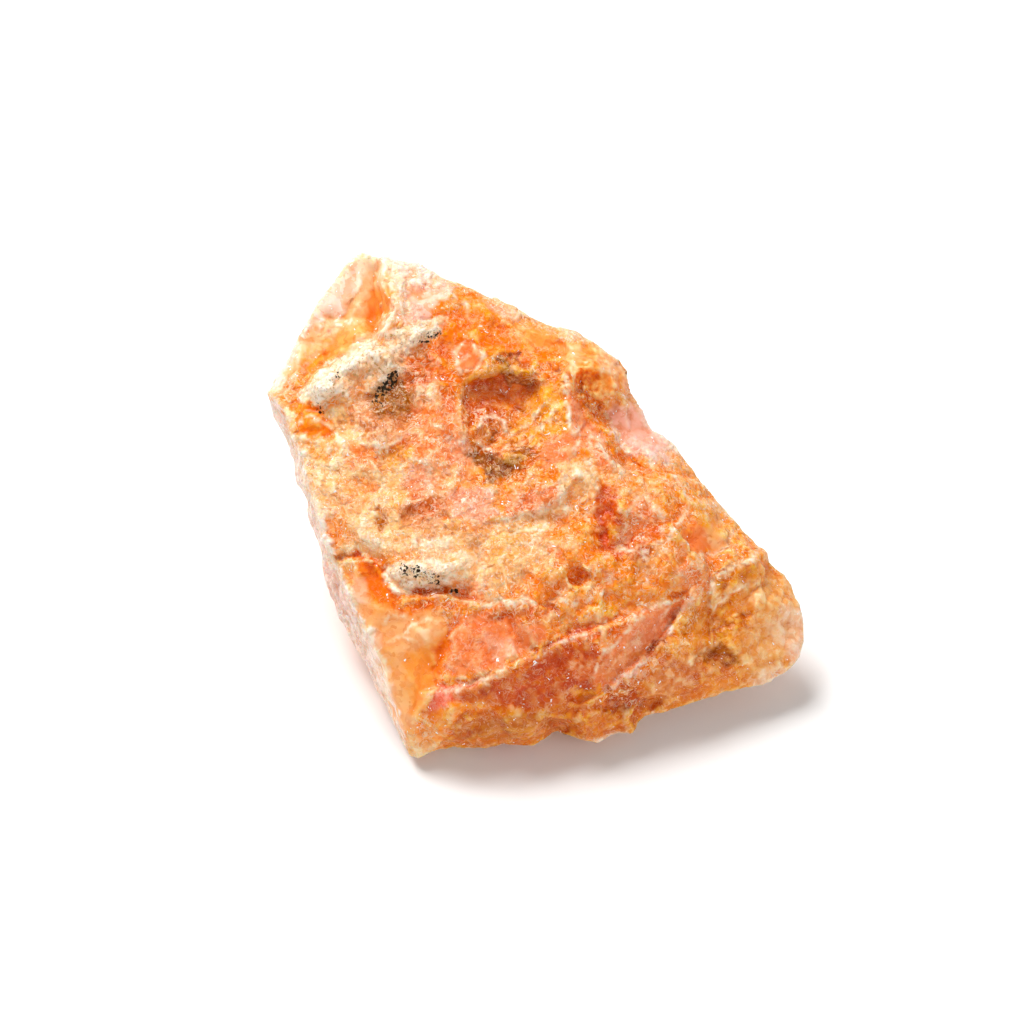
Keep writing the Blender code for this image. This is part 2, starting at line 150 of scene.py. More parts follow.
@dataclass(frozen=True)
class PictureView:
    """The camera's view, which modelling and painting share: millimetres, pixels and radians."""

    scale: float = 0.075
    middle: tuple[float, float] = (512.0, 512.0)
    elevation: float = math.radians(48.0)
    distance: float = 300.0
    above_foot: tuple[float, float, float] = (1.66, 2.07, 12.0)
    width_px: float = 1024.0

    @property
    def sight(self) -> np.ndarray:
        """The direction from the stone towards the eye."""
        return np.array((0.0, -math.cos(self.elevation), math.sin(self.elevation)))

    def target(self) -> Vector:
        """The point that the eye looks at, in the row frame."""
        return Vector((-self.above_foot[0], -self.above_foot[1], self.above_foot[2]))

    def pixels(self, points: np.ndarray) -> np.ndarray:
        """Where points show in the picture.

        Args:
            points: Rows of the row frame.

        Returns:
            Rows of pixels across and down.
        """
        sine, cosine = math.sin(self.elevation), math.cos(self.elevation)
        across = points[:, 0] + self.above_foot[0]
        back = points[:, 1] + self.above_foot[1]
        high = points[:, 2] - self.above_foot[2]
        up = back * sine + high * cosine
        near = high * sine - back * cosine
        magnified = self.distance / (self.distance - near) / self.scale
        return np.stack([self.middle[0] + across * magnified, self.middle[1] - up * magnified],
                        axis=1)


VIEW = PictureView()


def lattice(cells: np.ndarray, seed: int) -> np.ndarray:
    """Repeatable random numbers for whole-number cells of space.

    Args:
        cells: Rows of three whole numbers.
        seed: Sets one pattern apart from another.

    Returns:
        Rows of three numbers from 0 to 1.
    """
    mixed_in = cells.astype(np.uint32) * np.array(AXIS_FACTORS, np.uint32)
    key = mixed_in[:, 0] ^ mixed_in[:, 1] ^ mixed_in[:, 2] ^ np.uint32(seed * SEED_FACTOR & LARGEST)
    columns = []
    for step in range(3):
        key = (key ^ (key >> np.uint32(15))) * np.uint32(STIR_FACTORS[0])
        key = (key ^ (key >> np.uint32(13))) * np.uint32(STIR_FACTORS[1])
        key = key ^ (key >> np.uint32(16))
        columns.append(key.astype(float) / LARGEST)
        key = key + np.uint32(COLUMN_STEP + step)
    return np.stack(columns, axis=1)


def swell(points: np.ndarray, size: float, seed: int) -> np.ndarray:
    """Smooth noise with waves of one size.

    Args:
        points: Rows of places.
        size: How long the waves are, about.
        seed: Sets one pattern apart from another.

    Returns:
        The noise at each point, from -1 to 1 and mostly within a half.
    """
    place = points / size
    cell = np.floor(place).astype(np.int64)
    inside = place - cell
    ease = inside ** 3 * (inside * (inside * 6 - 15) + 10)
    total = np.zeros(len(points))
    for corner in product((0, 1), repeat=3):
        offset = np.array(corner)
        slope = lattice(cell + offset, seed) * 2 - 1
        weight = np.prod(np.where(offset == 1, ease, 1 - ease), axis=1)
        total += weight * np.sum(slope * (inside - offset), axis=1)
    return total * SWELL_GAIN


def rough(points: np.ndarray, size: float, octaves: int, seed: int) -> np.ndarray:
    """Noise with finer and finer waves on waves of the size."""
    return sum(swell(points, size / 2 ** n, seed + n) / 2 ** n for n in range(octaves))


def drifted(points: np.ndarray, size: float, reach: float, seed: int) -> np.ndarray:
    """The points, each pushed up to about the reach by slow waves of the size."""
    waves = [swell(points, size, seed + DRIFT_SEED * n) for n in range(3)]
    return points + reach * np.stack(waves, axis=1)


def eased(value: np.ndarray, low: float, high: float) -> np.ndarray:
    """A smooth step from 0 at low to 1 at high."""
    share = np.clip((value - low) / (high - low), 0.0, 1.0)
    return share * share * (3 - 2 * share)


def mixed(colours: np.ndarray, other: np.ndarray, share: np.ndarray) -> np.ndarray:
    """The colours with a share of another mixed in, point by point."""
    return colours * (1 - share[:, None]) + other * share[:, None]


class Waves(NamedTuple):
    """Noise that halves in size and strength some times, with its own seed."""

    size: float
    octaves: int
    seed: int

    def at(self, points: np.ndarray) -> np.ndarray:
        """The noise at each point."""
        return rough(points, self.size, self.octaves, self.seed)


class Cells(NamedTuple):
    """What surrounds each point in a pattern of cells.

    These are the distance to the nearest centre in cell sizes, the height of leaning bowls that
    meet in sharp crests, and three random numbers of the cell.
    """

    near: np.ndarray
    bowl: np.ndarray
    numbers: np.ndarray


class CellPattern(NamedTuple):
    """Irregular cells of a size, whose borders are bent by slower waves."""

    size: float
    seed: int
    bend: float
    reach: float
    bend_seed: int

    def bent(self, points: np.ndarray) -> np.ndarray:
        """The points, pushed about as the borders are."""
        return drifted(points, self.bend, self.reach, self.bend_seed)

    def at(self, points: np.ndarray) -> Cells:
        """Finds the cells around each point.

        Args:
            points: Rows of places.

        Returns:
            What surrounds them.
        """
        place = self.bent(points) / self.size
        home = np.floor(place).astype(np.int64)
        near = np.full(len(points), np.inf)
        bowl = np.full(len(points), np.inf)
        numbers = np.zeros_like(place)
        for corner in product((-1, 0, 1), repeat=3):
            cell = home + np.array(corner)
            own = lattice(cell, self.seed)
            step = place - cell - own
            distance = np.linalg.norm(step, axis=1)
            closer = distance < near
            near = np.where(closer, distance, near)
            numbers[closer] = own[closer][:, ::-1]
            lean = lattice(cell, self.seed + LEAN_SEED) * 2 - 1
            bowl = np.minimum(bowl, distance ** 2 + BOWL_LEAN * np.sum(lean * step, axis=1))
        return Cells(near, bowl, numbers)


def corners(line: Line) -> np.ndarray:
    """The line's corners, one row each."""
    return np.array(line, float).reshape(-1, 2)


def line_distance(pixels: np.ndarray, line: np.ndarray) -> tuple[np.ndarray, np.ndarray]:
    """Measures places against a line of straight runs.

    Args:
        pixels: Rows of pixels across and down.
        line: Rows of the line's corners, or one row for a spot.

    Returns:
        The distances, and the sides: +1 on the right as the line is walked, else -1.
    """
    best = np.full(len(pixels), np.inf)
    side = np.ones(len(pixels))
    if len(line) == 1:
        return np.linalg.norm(pixels - line[0], axis=1), side
    for start, end in zip(line, line[1:]):
        run = end - start
        share = np.clip((pixels - start) @ run / (run @ run), 0.0, 1.0)
        distance = np.linalg.norm(pixels - start - share[:, None] * run, axis=1)
        turn = run[0] * (pixels[:, 1] - start[1]) - run[1] * (pixels[:, 0] - start[0])
        nearer = distance < best
        best = np.where(nearer, distance, best)
        side = np.where(nearer, np.where(turn > 0, 1.0, -1.0), side)
    return best, side


def within(pixels: np.ndarray, outline: np.ndarray) -> np.ndarray:
    """Tells the places inside a closed outline.

    Args:
        pixels: Rows of pixels across and down.
        outline: Rows of its corners.

    Returns:
        Whether each place lies inside it.
    """
    inside = np.zeros(len(pixels), bool)
    for start, end in zip(outline, np.roll(outline, -1, axis=0)):
        if start[1] == end[1]:
            continue
        crosses = (start[1] > pixels[:, 1]) != (end[1] > pixels[:, 1])
        at = start[0] + (pixels[:, 1] - start[1]) * (end[0] - start[0]) / (end[1] - start[1])
        inside ^= crosses & (pixels[:, 0] < at)
    return inside


class Area(NamedTuple):
    """A place on the front, in the picture's pixels, with a soft edge.

    Without a width it is what a closed outline holds. With one it is a line or a spot that wide.
    """

    soft: float
    line: Line
    width: float = 0.0

    def cover(self, pixels: np.ndarray) -> np.ndarray:
        """Lays the area out.

        Args:
            pixels: Rows of pixels across and down.

        Returns:
            How far each place belongs to the area, from 0 to 1.
        """
        line = corners(self.line)
        closed = self.width == 0
        reach = (self.width + self.soft) / 2
        near = np.all((pixels > line.min(axis=0) - reach) & (pixels < line.max(axis=0) + reach),
                      axis=1)
        ring = np.vstack([line, line[:1]]) if closed else line
        distance, _ = line_distance(pixels[near], ring)
        if closed:
            distance = np.where(within(pixels[near], line), -distance, distance)
        cover = np.zeros(len(pixels))
        cover[near] = eased(self.width / 2 - distance, -self.soft / 2, self.soft / 2)
        return cover


class Patch(NamedTuple):
    """Paint on an area of the front: its tint and strength, then what the area says."""

    tint: Tint
    strength: float
    soft: float
    line: Line
    width: float = 0.0

    def cover(self, pixels: np.ndarray) -> np.ndarray:
        """How strong the paint is at each place."""
        return self.strength * Area(self.soft, self.line, self.width).cover(pixels)


class Form(Enum):
    """The kinds of small form."""

    LEDGE = "ledge"
    RIDGE = "ridge"
    GROOVE = "groove"
    LUMP = "lump"
    HOLLOW = "hollow"


class Stroke(NamedTuple):
    """A small form on the front: its height in millimetres, its width and its line in pixels.

    A ledge drops on the right of its line as it is walked, and the drop fades over the width. A
    pale vein of some width may follow the line.
    """

    form: Form
    height: float
    width: float
    line: Line
    vein: float = 0.0


class Vein(NamedTuple):
    """A pale vein: its width and its line in pixels."""

    width: float
    line: Line


class Fleck(NamedTuple):
    """A tint that noise scatters: its strength, and the noise values where it starts and is full.

    With a sign of -1 it lies in the noise's valleys.
    """

    tint: Tint
    strength: float
    start: float
    full: float
    sign: float = 1.0

    def over(self, colours: np.ndarray, noise: np.ndarray,
             where: np.ndarray | float = 1.0) -> np.ndarray:
        """The colours with the fleck mixed in.

        Args:
            colours: Rows of linear colours.
            noise: The noise at each point.
            where: How much of it each point takes.

        Returns:
            Rows of linear colours.
        """
        share = self.strength * eased(self.sign * noise, self.start, self.full) * where
        return mixed(colours, self.tint.rgb, share)


# The paint of the front, each patch over the ones before it
FRONT_PATCHES = (
    # the shoulder facet on the left of the white ridge
    Patch(Tint.PEACH, 1, 8, (264, 390, 290, 350, 325, 290, 345, 260, 392, 256, 396, 300, 378, 336,
        345, 358, 318, 376, 300, 398)),
    Patch(Tint.PALE_ROSE, 1, 6, (258, 391, 290, 340, 323, 285, 343, 252, 366, 246, 386, 256,
        378, 270, 360, 276, 357, 290, 344, 322, 326, 318, 305, 330, 290, 358, 282, 384)),
    Patch(Tint.SOFT_ORANGE, 0.9, 8, (300, 356, 330, 334, 352, 320, 360, 300, 372, 290, 390, 292,
        392, 306, 380, 328, 362, 342, 330, 352, 310, 366)),
    Patch(Tint.SOFT_ORANGE, 0.6, 9, (372, 290, 390, 292, 391, 308, 378, 330, 352, 344, 336, 348,
        366, 322)),
    Patch(Tint.PEACH, 0.6, 8, (346, 300, 362, 284, 372, 290, 364, 318, 346, 330)),
    Patch(Tint.FLAME, 0.3, 7, (380, 304, 390, 300, 384, 324, 366, 340, 372, 322)),
    # painted light: cream laid on the thin peak, to pale it where it lies in shade
    Patch(Tint.CREAM, 0.8, 6, (350, 250, 378, 248, 388, 260, 380, 278, 358, 276)),
    Patch(Tint.ORANGE, 0.75, 7, (280, 394, 298, 366, 325, 350, 352, 344, 344, 356, 318, 374,
        300, 396)),
    Patch(Tint.AMBER, 0.5, 6, (290, 390, 310, 362, 336, 352, 318, 372, 300, 394)),
    Patch(Tint.OCHRE, 0.4, 5, (288, 390, 308, 366, 326, 358, 310, 376, 296, 392)),
    # the rim of the top, the cream ridge and the pink patch
    Patch(Tint.PALE_ROSE, 0.85, 7, (380, 250, 420, 256, 442, 272, 456, 284, 420, 290, 404, 300,
        390, 282)),
    Patch(Tint.PEACH, 0.7, 9, (442, 276, 480, 290, 520, 308, 560, 328, 600, 346, 626, 366), 14),
    Patch(Tint.PEACH, 0.5, 10, (390, 268, 401, 284, 397, 302, 386, 326, 372, 344), 12),
    Patch(Tint.CREAM, 0.6, 6, (390, 268, 401, 284, 397, 302, 386, 326, 372, 344), 5),
    Patch(Tint.SOFT_ORANGE, 0.6, 8, (430, 284, 456, 284, 466, 296, 444, 298)),
    Patch(Tint.PINK, 1, 6, (404, 302, 412, 287, 440, 282, 454, 290, 440, 302, 426, 312, 430, 322,
        408, 326, 401, 318)),
    Patch(Tint.ROSE, 0.45, 6, (410, 306, 426, 300, 424, 320, 408, 322)),
    # the bright top strip
    Patch(Tint.BRIGHT_ORANGE, 1, 9, (432, 322, 440, 302, 470, 292, 508, 312, 524, 330, 548, 346,
        560, 362, 536, 372, 505, 356, 462, 346, 440, 352)),
    Patch(Tint.SOFT_ORANGE, 1, 7, (508, 312, 530, 320, 562, 334, 560, 352, 530, 350, 514, 334)),
    Patch(Tint.PINK, 0.55, 7, (482, 302, 502, 306, 522, 316, 518, 324, 500, 316, 484, 308)),
    Patch(Tint.ORANGE, 0.6, 8, (484, 314, 510, 318, 520, 332, 498, 334)),
    Patch(Tint.AMBER, 0.45, 7, (452, 296, 480, 300, 490, 312, 470, 316, 450, 308)),
    Patch(Tint.FLAME, 0.85, 7, (427, 346, 448, 342, 456, 356, 464, 376, 450, 402, 430, 404,
        424, 380)),
    Patch(Tint.BURNT, 0.45, 7, (428, 350, 440, 350, 446, 380, 432, 390, 424, 372)),
    Patch(Tint.SALMON, 1, 4, (466, 341, 487, 352, 479, 369, 462, 375, 454, 352)),
    Patch(Tint.ORANGE, 0.8, 6, (484, 346, 514, 350, 500, 364, 480, 370)),
    # the upper right lobes
    Patch(Tint.SOFT_ORANGE, 1, 7, (560, 342, 590, 338, 606, 350, 628, 368, 632, 390, 604, 394,
        580, 384, 566, 368)),
    Patch(Tint.PEACH, 0.5, 6, (560, 348, 580, 346, 588, 362, 578, 382, 566, 368)),
    Patch(Tint.SOFT_ORANGE, 0.8, 9, (584, 366, 600, 366, 606, 390, 596, 400, 580, 390)),
    Patch(Tint.ORANGE, 0.55, 9, (574, 366, 600, 366, 608, 384, 604, 400, 586, 402, 574, 386)),
    Patch(Tint.PEACH, 0.7, 8, (592, 344, 610, 350, 624, 366, 618, 378, 600, 366)),
    Patch(Tint.SOFT_ORANGE, 0.9, 5, (606, 392, 626, 388, 637, 406, 612, 411)),
    # the first crust and what lies under it
    Patch(Tint.CREAM, 0.9, 6, (383, 346, 398, 330, 420, 322, 442, 316, 440, 332, 420, 346,
        402, 356)),
    Patch(Tint.PEACH, 0.8, 5, (388, 340, 408, 330, 420, 332, 404, 346)),
    Patch(Tint.SALMON, 0.7, 6, (412, 343), 8),
    Patch(Tint.CHALK, 1, 5, (300, 397, 319, 373, 330, 361, 345, 357, 362, 342, 374, 345, 399, 347,
        405, 356, 399, 372, 380, 378, 364, 368, 350, 374, 343, 392, 330, 403, 311, 407)),
    Patch(Tint.PEACH, 0.9, 6, (344, 376, 364, 367, 378, 378, 374, 394, 350, 398)),
    Patch(Tint.SOFT_ORANGE, 0.7, 6, (352, 378, 366, 374, 372, 386, 356, 392)),
    Patch(Tint.BROWN, 0.45, 7, (394, 372, 386, 386, 382, 400), 15),
    Patch(Tint.PEACH, 0.6, 6, (374, 344, 400, 346, 402, 358, 384, 362)),
    Patch(Tint.TAN, 0.65, 8, (362, 350, 396, 350, 400, 368, 382, 378, 364, 366)),
    Patch(Tint.AMBER, 0.5, 6, (318, 382, 336, 380, 336, 392, 322, 398)),
    Patch(Tint.CHALK, 0.8, 6, (302, 400, 312, 384, 330, 378, 334, 392, 322, 404)),
    Patch(Tint.MAUVE_BROWN, 0.85, 8, (397, 354, 424, 346, 430, 372, 426, 402, 402, 406, 398, 380)),
    Patch(Tint.TAN, 0.7, 8, (340, 394, 378, 388, 386, 404, 374, 420, 350, 420)),
    Patch(Tint.BROWN, 0.65, 9, (378, 382, 396, 376, 412, 388, 408, 412, 388, 420, 372, 410)),
    Patch(Tint.BURNT, 0.5, 9, (410, 362, 430, 358, 432, 384, 418, 396, 408, 384)),
    # the wispy yellow of the middle left
    Patch(Tint.YELLOW_CREAM, 1, 12, (284, 408, 312, 408, 345, 406, 358, 420, 400, 432, 412, 470,
        398, 520, 404, 545, 385, 560, 350, 552, 330, 558, 314, 520, 302, 478, 290, 440)),
    Patch(Tint.BROWN, 0.5, 9, (354, 402, 392, 400, 388, 420, 362, 422)),
    Patch(Tint.MAUVE_BROWN, 0.6, 14, (356, 412, 400, 406, 424, 420, 422, 446, 396, 448, 366, 436)),
    Patch(Tint.ORANGE, 1, 5, (294, 404, 314, 402, 322, 414, 341, 437, 318, 441, 299, 438,
        291, 424)),
    Patch(Tint.FLAME, 0.65, 8, (340, 446, 370, 444, 384, 456, 380, 472, 350, 466)),
    Patch(Tint.ORANGE, 0.6, 8, (336, 478, 372, 476, 384, 492, 370, 505, 344, 500)),
    Patch(Tint.SALMON, 0.5, 8, (342, 496, 364, 496, 362, 514, 346, 514)),
    Patch(Tint.OCHRE, 0.85, 5, (376, 506, 390, 507, 388, 530, 379, 530)),
    Patch(Tint.BURNT, 0.8, 8, (430, 392, 446, 390, 452, 404, 440, 412, 430, 404)),
    Patch(Tint.BURNT, 0.9, 7, (392, 434, 404, 430, 410, 444, 400, 450, 392, 446)),
    Patch(Tint.MAUVE_BROWN, 0.7, 8, (372, 430, 392, 434, 390, 450, 372, 448)),
    Patch(Tint.ORANGE, 0.5, 9, (410, 410, 428, 410, 432, 428, 414, 430)),
    Patch(Tint.AMBER, 0.6, 8, (308, 442, 330, 444, 332, 462, 312, 460)),
    Patch(Tint.AMBER, 0.6, 8, (392, 490, 408, 492, 408, 510, 394, 508)),
    Patch(Tint.PINK, 0.5, 8, (322, 510, 340, 512, 340, 530, 324, 528)),
    Patch(Tint.ORANGE, 0.9, 7, (320, 514, 346, 516, 352, 532, 337, 553, 322, 540)),
    Patch(Tint.AMBER, 0.7, 8, (384, 448, 416, 446, 424, 462, 404, 475, 386, 466)),
    Patch(Tint.MAUVE_BROWN, 0.75, 11, (350, 402, 410, 398, 424, 416, 412, 438, 384, 440, 356, 426)),
    Patch(Tint.BROWN, 0.45, 10, (370, 398, 412, 396, 408, 418, 382, 422)),
    Patch(Tint.SALMON, 0.75, 14, (410, 400, 462, 398, 466, 440, 470, 476, 430, 486, 412, 450)),
    Patch(Tint.MAUVE_BROWN, 0.6, 10, (404, 368, 428, 366, 440, 392, 424, 408, 404, 400)),
    Patch(Tint.YELLOW_CREAM, 0.55, 8, (404, 386, 430, 384, 442, 400, 418, 406)),
    Patch(Tint.YELLOW_CREAM, 0.55, 10, (424, 464, 454, 466, 452, 488, 426, 488)),
    Patch(Tint.MAUVE_BROWN, 1, 7, (403, 494, 446, 487, 451, 510, 436, 529, 412, 533, 400, 516)),
    Patch(Tint.BURNT, 0.75, 8, (408, 500, 440, 496, 444, 508, 420, 524)),
    Patch(Tint.MAUVE_PINK, 0.8, 9, (404, 464, 430, 466, 440, 486, 420, 494, 404, 484)),
    Patch(Tint.MAUVE_PINK, 1, 9, (450, 488, 492, 488, 500, 514, 478, 523, 452, 518)),
    Patch(Tint.BURNT, 0.5, 8, (436, 340, 448, 340, 452, 362, 438, 366)),
    Patch(Tint.BURNT, 0.45, 8, (452, 402, 466, 398, 470, 420, 456, 424)),
    Patch(Tint.MAUVE_PINK, 0.6, 9, (448, 438, 472, 438, 474, 462, 450, 462)),
    Patch(Tint.PINK, 0.45, 9, (548, 436, 572, 436, 574, 460, 550, 464)),
    # the hollow
    Patch(Tint.DEEP_HONEY, 1, 9, (461, 375, 500, 366, 536, 380, 566, 374, 564, 410, 546, 440,
        540, 460, 520, 476, 500, 489, 484, 480, 470, 440, 464, 410)),
    Patch(Tint.BURNT, 0.45, 9, (464, 376, 500, 368, 536, 380, 560, 378, 550, 420, 530, 460,
        500, 482, 476, 440, 466, 410)),
    Patch(Tint.BRIGHT_ORANGE, 0.8, 9, (500, 384, 524, 380, 536, 396, 512, 408)),
    Patch(Tint.BURNT, 0.6, 8, (468, 402, 500, 404, 506, 418, 490, 444, 472, 430)),
    Patch(Tint.BURNT, 0.5, 8, (508, 440, 530, 438, 526, 462, 508, 466)),
    Patch(Tint.AMBER, 0.7, 9, (536, 386, 566, 374, 570, 420, 550, 440, 520, 452, 504, 440,
        520, 412)),
    Patch(Tint.SOFT_ORANGE, 0.5, 8, (478, 424, 506, 420, 514, 437, 504, 448, 480, 442)),
    Patch(Tint.BURNT, 0.6, 6, (512, 358, 528, 360, 532, 376, 514, 376)),
    Patch(Tint.OLIVE, 0.75, 5, (497, 363, 514, 355, 530, 367, 538, 380, 520, 383, 502, 378)),
    Patch(Tint.BRIGHT_ORANGE, 0.6, 5, (510, 366, 526, 368, 528, 376, 514, 376)),
    Patch(Tint.OLIVE, 0.9, 5, (466, 452, 490, 452, 500, 461, 530, 446, 533, 454, 508, 476, 489, 485,
        484, 470)),
    # the crest on the right of the hollow, and the valley beyond it
    Patch(Tint.SALMON, 1, 5, (568, 388, 578, 400, 590, 416, 604, 440, 616, 467, 600, 468, 586, 450,
        560, 462, 542, 470, 540, 450, 566, 432)),
    Patch(Tint.ORANGE, 1, 6, (580, 400, 600, 408, 616, 436, 652, 465, 636, 474, 606, 450,
        590, 424)),
    Patch(Tint.FLAME, 0.5, 6, (584, 404, 602, 430, 620, 448), 7),
    Patch(Tint.PINK, 0.4, 6, (574, 404, 584, 424, 600, 440), 6),
    Patch(Tint.PINK, 1, 5, (606, 410, 630, 403, 648, 420, 664, 440, 678, 448, 678, 463, 652, 465,
        630, 453, 612, 434)),
    Patch(Tint.ROSE, 0.5, 9, (608, 410, 632, 406, 662, 440, 668, 456, 644, 456, 612, 432)),
    Patch(Tint.PALE_ROSE, 0.35, 6, (652, 446, 668, 448, 672, 460, 656, 462)),
    Patch(Tint.PALE_ROSE, 0.5, 6, (641, 402, 653, 430, 673, 446), 8),
    Patch(Tint.SOFT_ORANGE, 0.85, 6, (668, 448, 686, 454, 702, 478, 708, 492, 690, 486, 676, 474)),
    # the middle of the face
    Patch(Tint.SALMON, 1, 4, (504, 497, 530, 488, 562, 486, 566, 495, 548, 509, 512, 519)),
    Patch(Tint.YELLOW_CREAM, 0.75, 8, (558, 464, 596, 463, 604, 478, 590, 496, 572, 510, 552, 530,
        512, 534, 500, 524, 545, 512, 566, 492)),
    Patch(Tint.CREAM, 0.6, 6, (506, 522, 535, 516, 556, 506, 567, 491, 564, 478), 6),
    Patch(Tint.SALMON, 0.6, 8, (536, 484, 560, 480, 562, 494, 548, 508, 530, 506)),
    Patch(Tint.CREAM, 0.5, 10, (574, 474, 590, 470), 9),
    Patch(Tint.ORANGE, 0.7, 7, (572, 480, 590, 478, 590, 494, 576, 508, 564, 500)),
    Patch(Tint.YELLOW_CREAM, 0.75, 14, (384, 532, 440, 524, 480, 530, 500, 524, 540, 530, 548, 560,
        505, 592, 480, 602, 452, 590, 450, 560, 400, 555)),
    Patch(Tint.AMBER, 0.5, 10, (500, 530, 530, 536, 520, 560, 490, 560, 486, 540)),
    Patch(Tint.OCHRE, 0.6, 6, (462, 532, 478, 530, 480, 544, 466, 544)),
    Patch(Tint.CREAM, 0.7, 8, (414, 536, 444, 534, 452, 548, 430, 556, 412, 550)),
    Patch(Tint.CREAM, 0.5, 9, (456, 552, 480, 552, 484, 568, 462, 572)),
    Patch(Tint.SOFT_ORANGE, 0.7, 7, (554, 614, 572, 612, 580, 628, 560, 634)),
    Patch(Tint.BURNT, 1, 9, (596, 482, 614, 486, 624, 520, 618, 550, 596, 552, 592, 516)),
    Patch(Tint.BURNT, 0.5, 8, (544, 580, 562, 572, 566, 590, 548, 600)),
    Patch(Tint.BURNT, 0.85, 8, (606, 538, 634, 540, 652, 548, 644, 560, 612, 558)),
    Patch(Tint.PEACH, 0.5, 8, (568, 482, 588, 476, 596, 490, 580, 500)),
    Patch(Tint.PEACH, 0.6, 8, (610, 460, 632, 464, 634, 480, 612, 480)),
    Patch(Tint.CREAM, 0.6, 8, (706, 500, 720, 498, 734, 516, 722, 522)),
    Patch(Tint.BURNT, 0.7, 7, (526, 604, 552, 602, 556, 618, 530, 620)),
    Patch(Tint.BURNT, 0.4, 8, (540, 548, 560, 544, 566, 560, 548, 566)),
    Patch(Tint.AMBER, 1, 4, (614, 534), 8),
    Patch(Tint.SALMON, 0.85, 7, (628, 500, 652, 496, 660, 530, 640, 549, 624, 536, 634, 516)),
    Patch(Tint.FLAME, 0.35, 8, (650, 498, 690, 502, 688, 526, 666, 520, 652, 516)),
    Patch(Tint.ORANGE, 0.9, 5, (662, 524, 684, 520, 691, 532, 680, 547, 664, 542)),
    Patch(Tint.BURNT, 0.35, 9, (658, 540, 680, 546, 690, 560, 668, 560)),
    Patch(Tint.SALMON, 0.9, 5, (690, 528, 712, 525, 716, 540, 702, 553, 685, 545)),
    Patch(Tint.PEACH, 0.8, 5, (708, 527, 728, 530, 729, 544, 713, 553, 708, 540)),
    Patch(Tint.AMBER, 0.5, 10, (676, 484, 712, 496, 744, 536, 768, 556, 752, 560, 722, 540,
        690, 510)),
    Patch(Tint.SALMON, 0.7, 8, (680, 566, 710, 558, 710, 600, 692, 640, 680, 610)),
    Patch(Tint.SALMON, 0.7, 6, (455, 582, 484, 580, 487, 600, 462, 607)),
    Patch(Tint.CREAM, 0.5, 6, (610, 576), 8),
    Patch(Tint.AMBER, 0.8, 5, (592, 602, 612, 600, 618, 612, 598, 614)),
    Patch(Tint.BRIGHT_ORANGE, 0.9, 6, (577, 577), 12),
    Patch(Tint.RUST, 1, 3, (578, 580), 3),
    # the cushion and the second crust, with painted shade in the notch and under the crust's
    # overhang
    Patch(Tint.TAN, 0.55, 6, (346, 534, 370, 526, 388, 538, 380, 562, 362, 556, 342, 556)),
    Patch(Tint.CHALK, 0.8, 6, (388, 568, 420, 556, 450, 561, 457, 580, 440, 593, 404, 593,
        383, 584)),
    # painted shade: a deeper orange in the notch and along the overhang, darker right under the
    # crust
    Patch(Tint.FLAME, 0.9, 6, (350, 558, 372, 555, 384, 566, 384, 586, 400, 602, 452, 592, 458, 606,
        400, 613, 376, 600, 362, 576)),
    Patch(Tint.BURNT, 0.7, 5, (412, 590, 454, 586, 450, 600, 416, 606)),
    # the smooth lower left
    Patch(Tint.SOFT_ORANGE, 1, 7, (336, 556, 352, 562, 372, 598, 400, 614, 455, 611, 450, 640,
        436, 690, 404, 742, 384, 690, 366, 640, 350, 606)),
    Patch(Tint.PEACH, 0.6, 11, (378, 612, 440, 612, 436, 634, 404, 660, 404, 712, 390, 700,
        384, 668)),
    Patch(Tint.AMBER, 0.3, 8, (382, 650, 396, 650, 400, 690, 394, 700)),
    Patch(Tint.ORANGE, 0.35, 12, (408, 668, 430, 650, 436, 672, 416, 700)),
    Patch(Tint.PALE_ROSE, 0.6, 8, (372, 636, 382, 670, 388, 690), 14),
    Patch(Tint.PEACH, 0.6, 9, (392, 680, 402, 700, 406, 724), 12),
    Patch(Tint.SALMON, 1, 9, (452, 614, 500, 616, 540, 622, 548, 637, 520, 653, 490, 673, 450, 677,
        446, 650)),
    Patch(Tint.PEACH, 0.6, 8, (346, 584, 366, 590, 380, 622, 372, 636, 354, 606)),
    Patch(Tint.PINK, 0.55, 9, (484, 640, 512, 636, 520, 650, 496, 664)),
    Patch(Tint.FLAME, 0.75, 8, (454, 622, 446, 640, 438, 662, 440, 680), 9),
    Patch(Tint.BURNT, 0.8, 7, (485, 611, 504, 605, 534, 608, 540, 620, 516, 624, 486, 621)),
    Patch(Tint.CREAM, 0.8, 4, (482, 607, 500, 601, 520, 602, 536, 604), 3),
    # the front wall
    Patch(Tint.BURNT, 1, 5, (474, 692, 500, 677, 524, 659, 556, 643, 596, 625, 602, 650, 592, 672,
        598, 690, 560, 696, 520, 702)),
    Patch(Tint.DEEP_HONEY, 1, 7, (438, 748, 450, 714, 500, 708, 560, 700, 604, 702, 658, 712,
        634, 738, 560, 740, 500, 750)),
    Patch(Tint.BURNT, 0.8, 8, (484, 700, 520, 686, 572, 682, 566, 704, 500, 714)),
    Patch(Tint.BROWN, 0.4, 9, (450, 726, 500, 716, 540, 712, 560, 726, 520, 738, 460, 744)),
    Patch(Tint.FLAME, 0.6, 7, (590, 642, 610, 620, 632, 612, 630, 640, 604, 660)),
    Patch(Tint.SALMON, 0.6, 6, (566, 666, 590, 656, 600, 668, 580, 684)),
    Patch(Tint.CORAL, 0.95, 6, (427, 714, 438, 686, 480, 681, 474, 694, 450, 706)),
    Patch(Tint.ORANGE, 0.8, 8, (426, 716, 462, 702, 444, 740, 418, 732)),
    Patch(Tint.SOFT_ORANGE, 1, 6, (396, 732, 430, 724, 444, 742, 428, 753, 416, 762, 402, 750)),
    Patch(Tint.YELLOW_CREAM, 0.6, 7, (410, 744, 428, 740, 430, 756, 416, 762)),
    Patch(Tint.BURNT, 0.7, 7, (452, 688, 486, 682, 498, 690, 486, 702, 458, 704)),
    Patch(Tint.AMBER, 0.9, 4, (582, 692, 602, 690), 8),
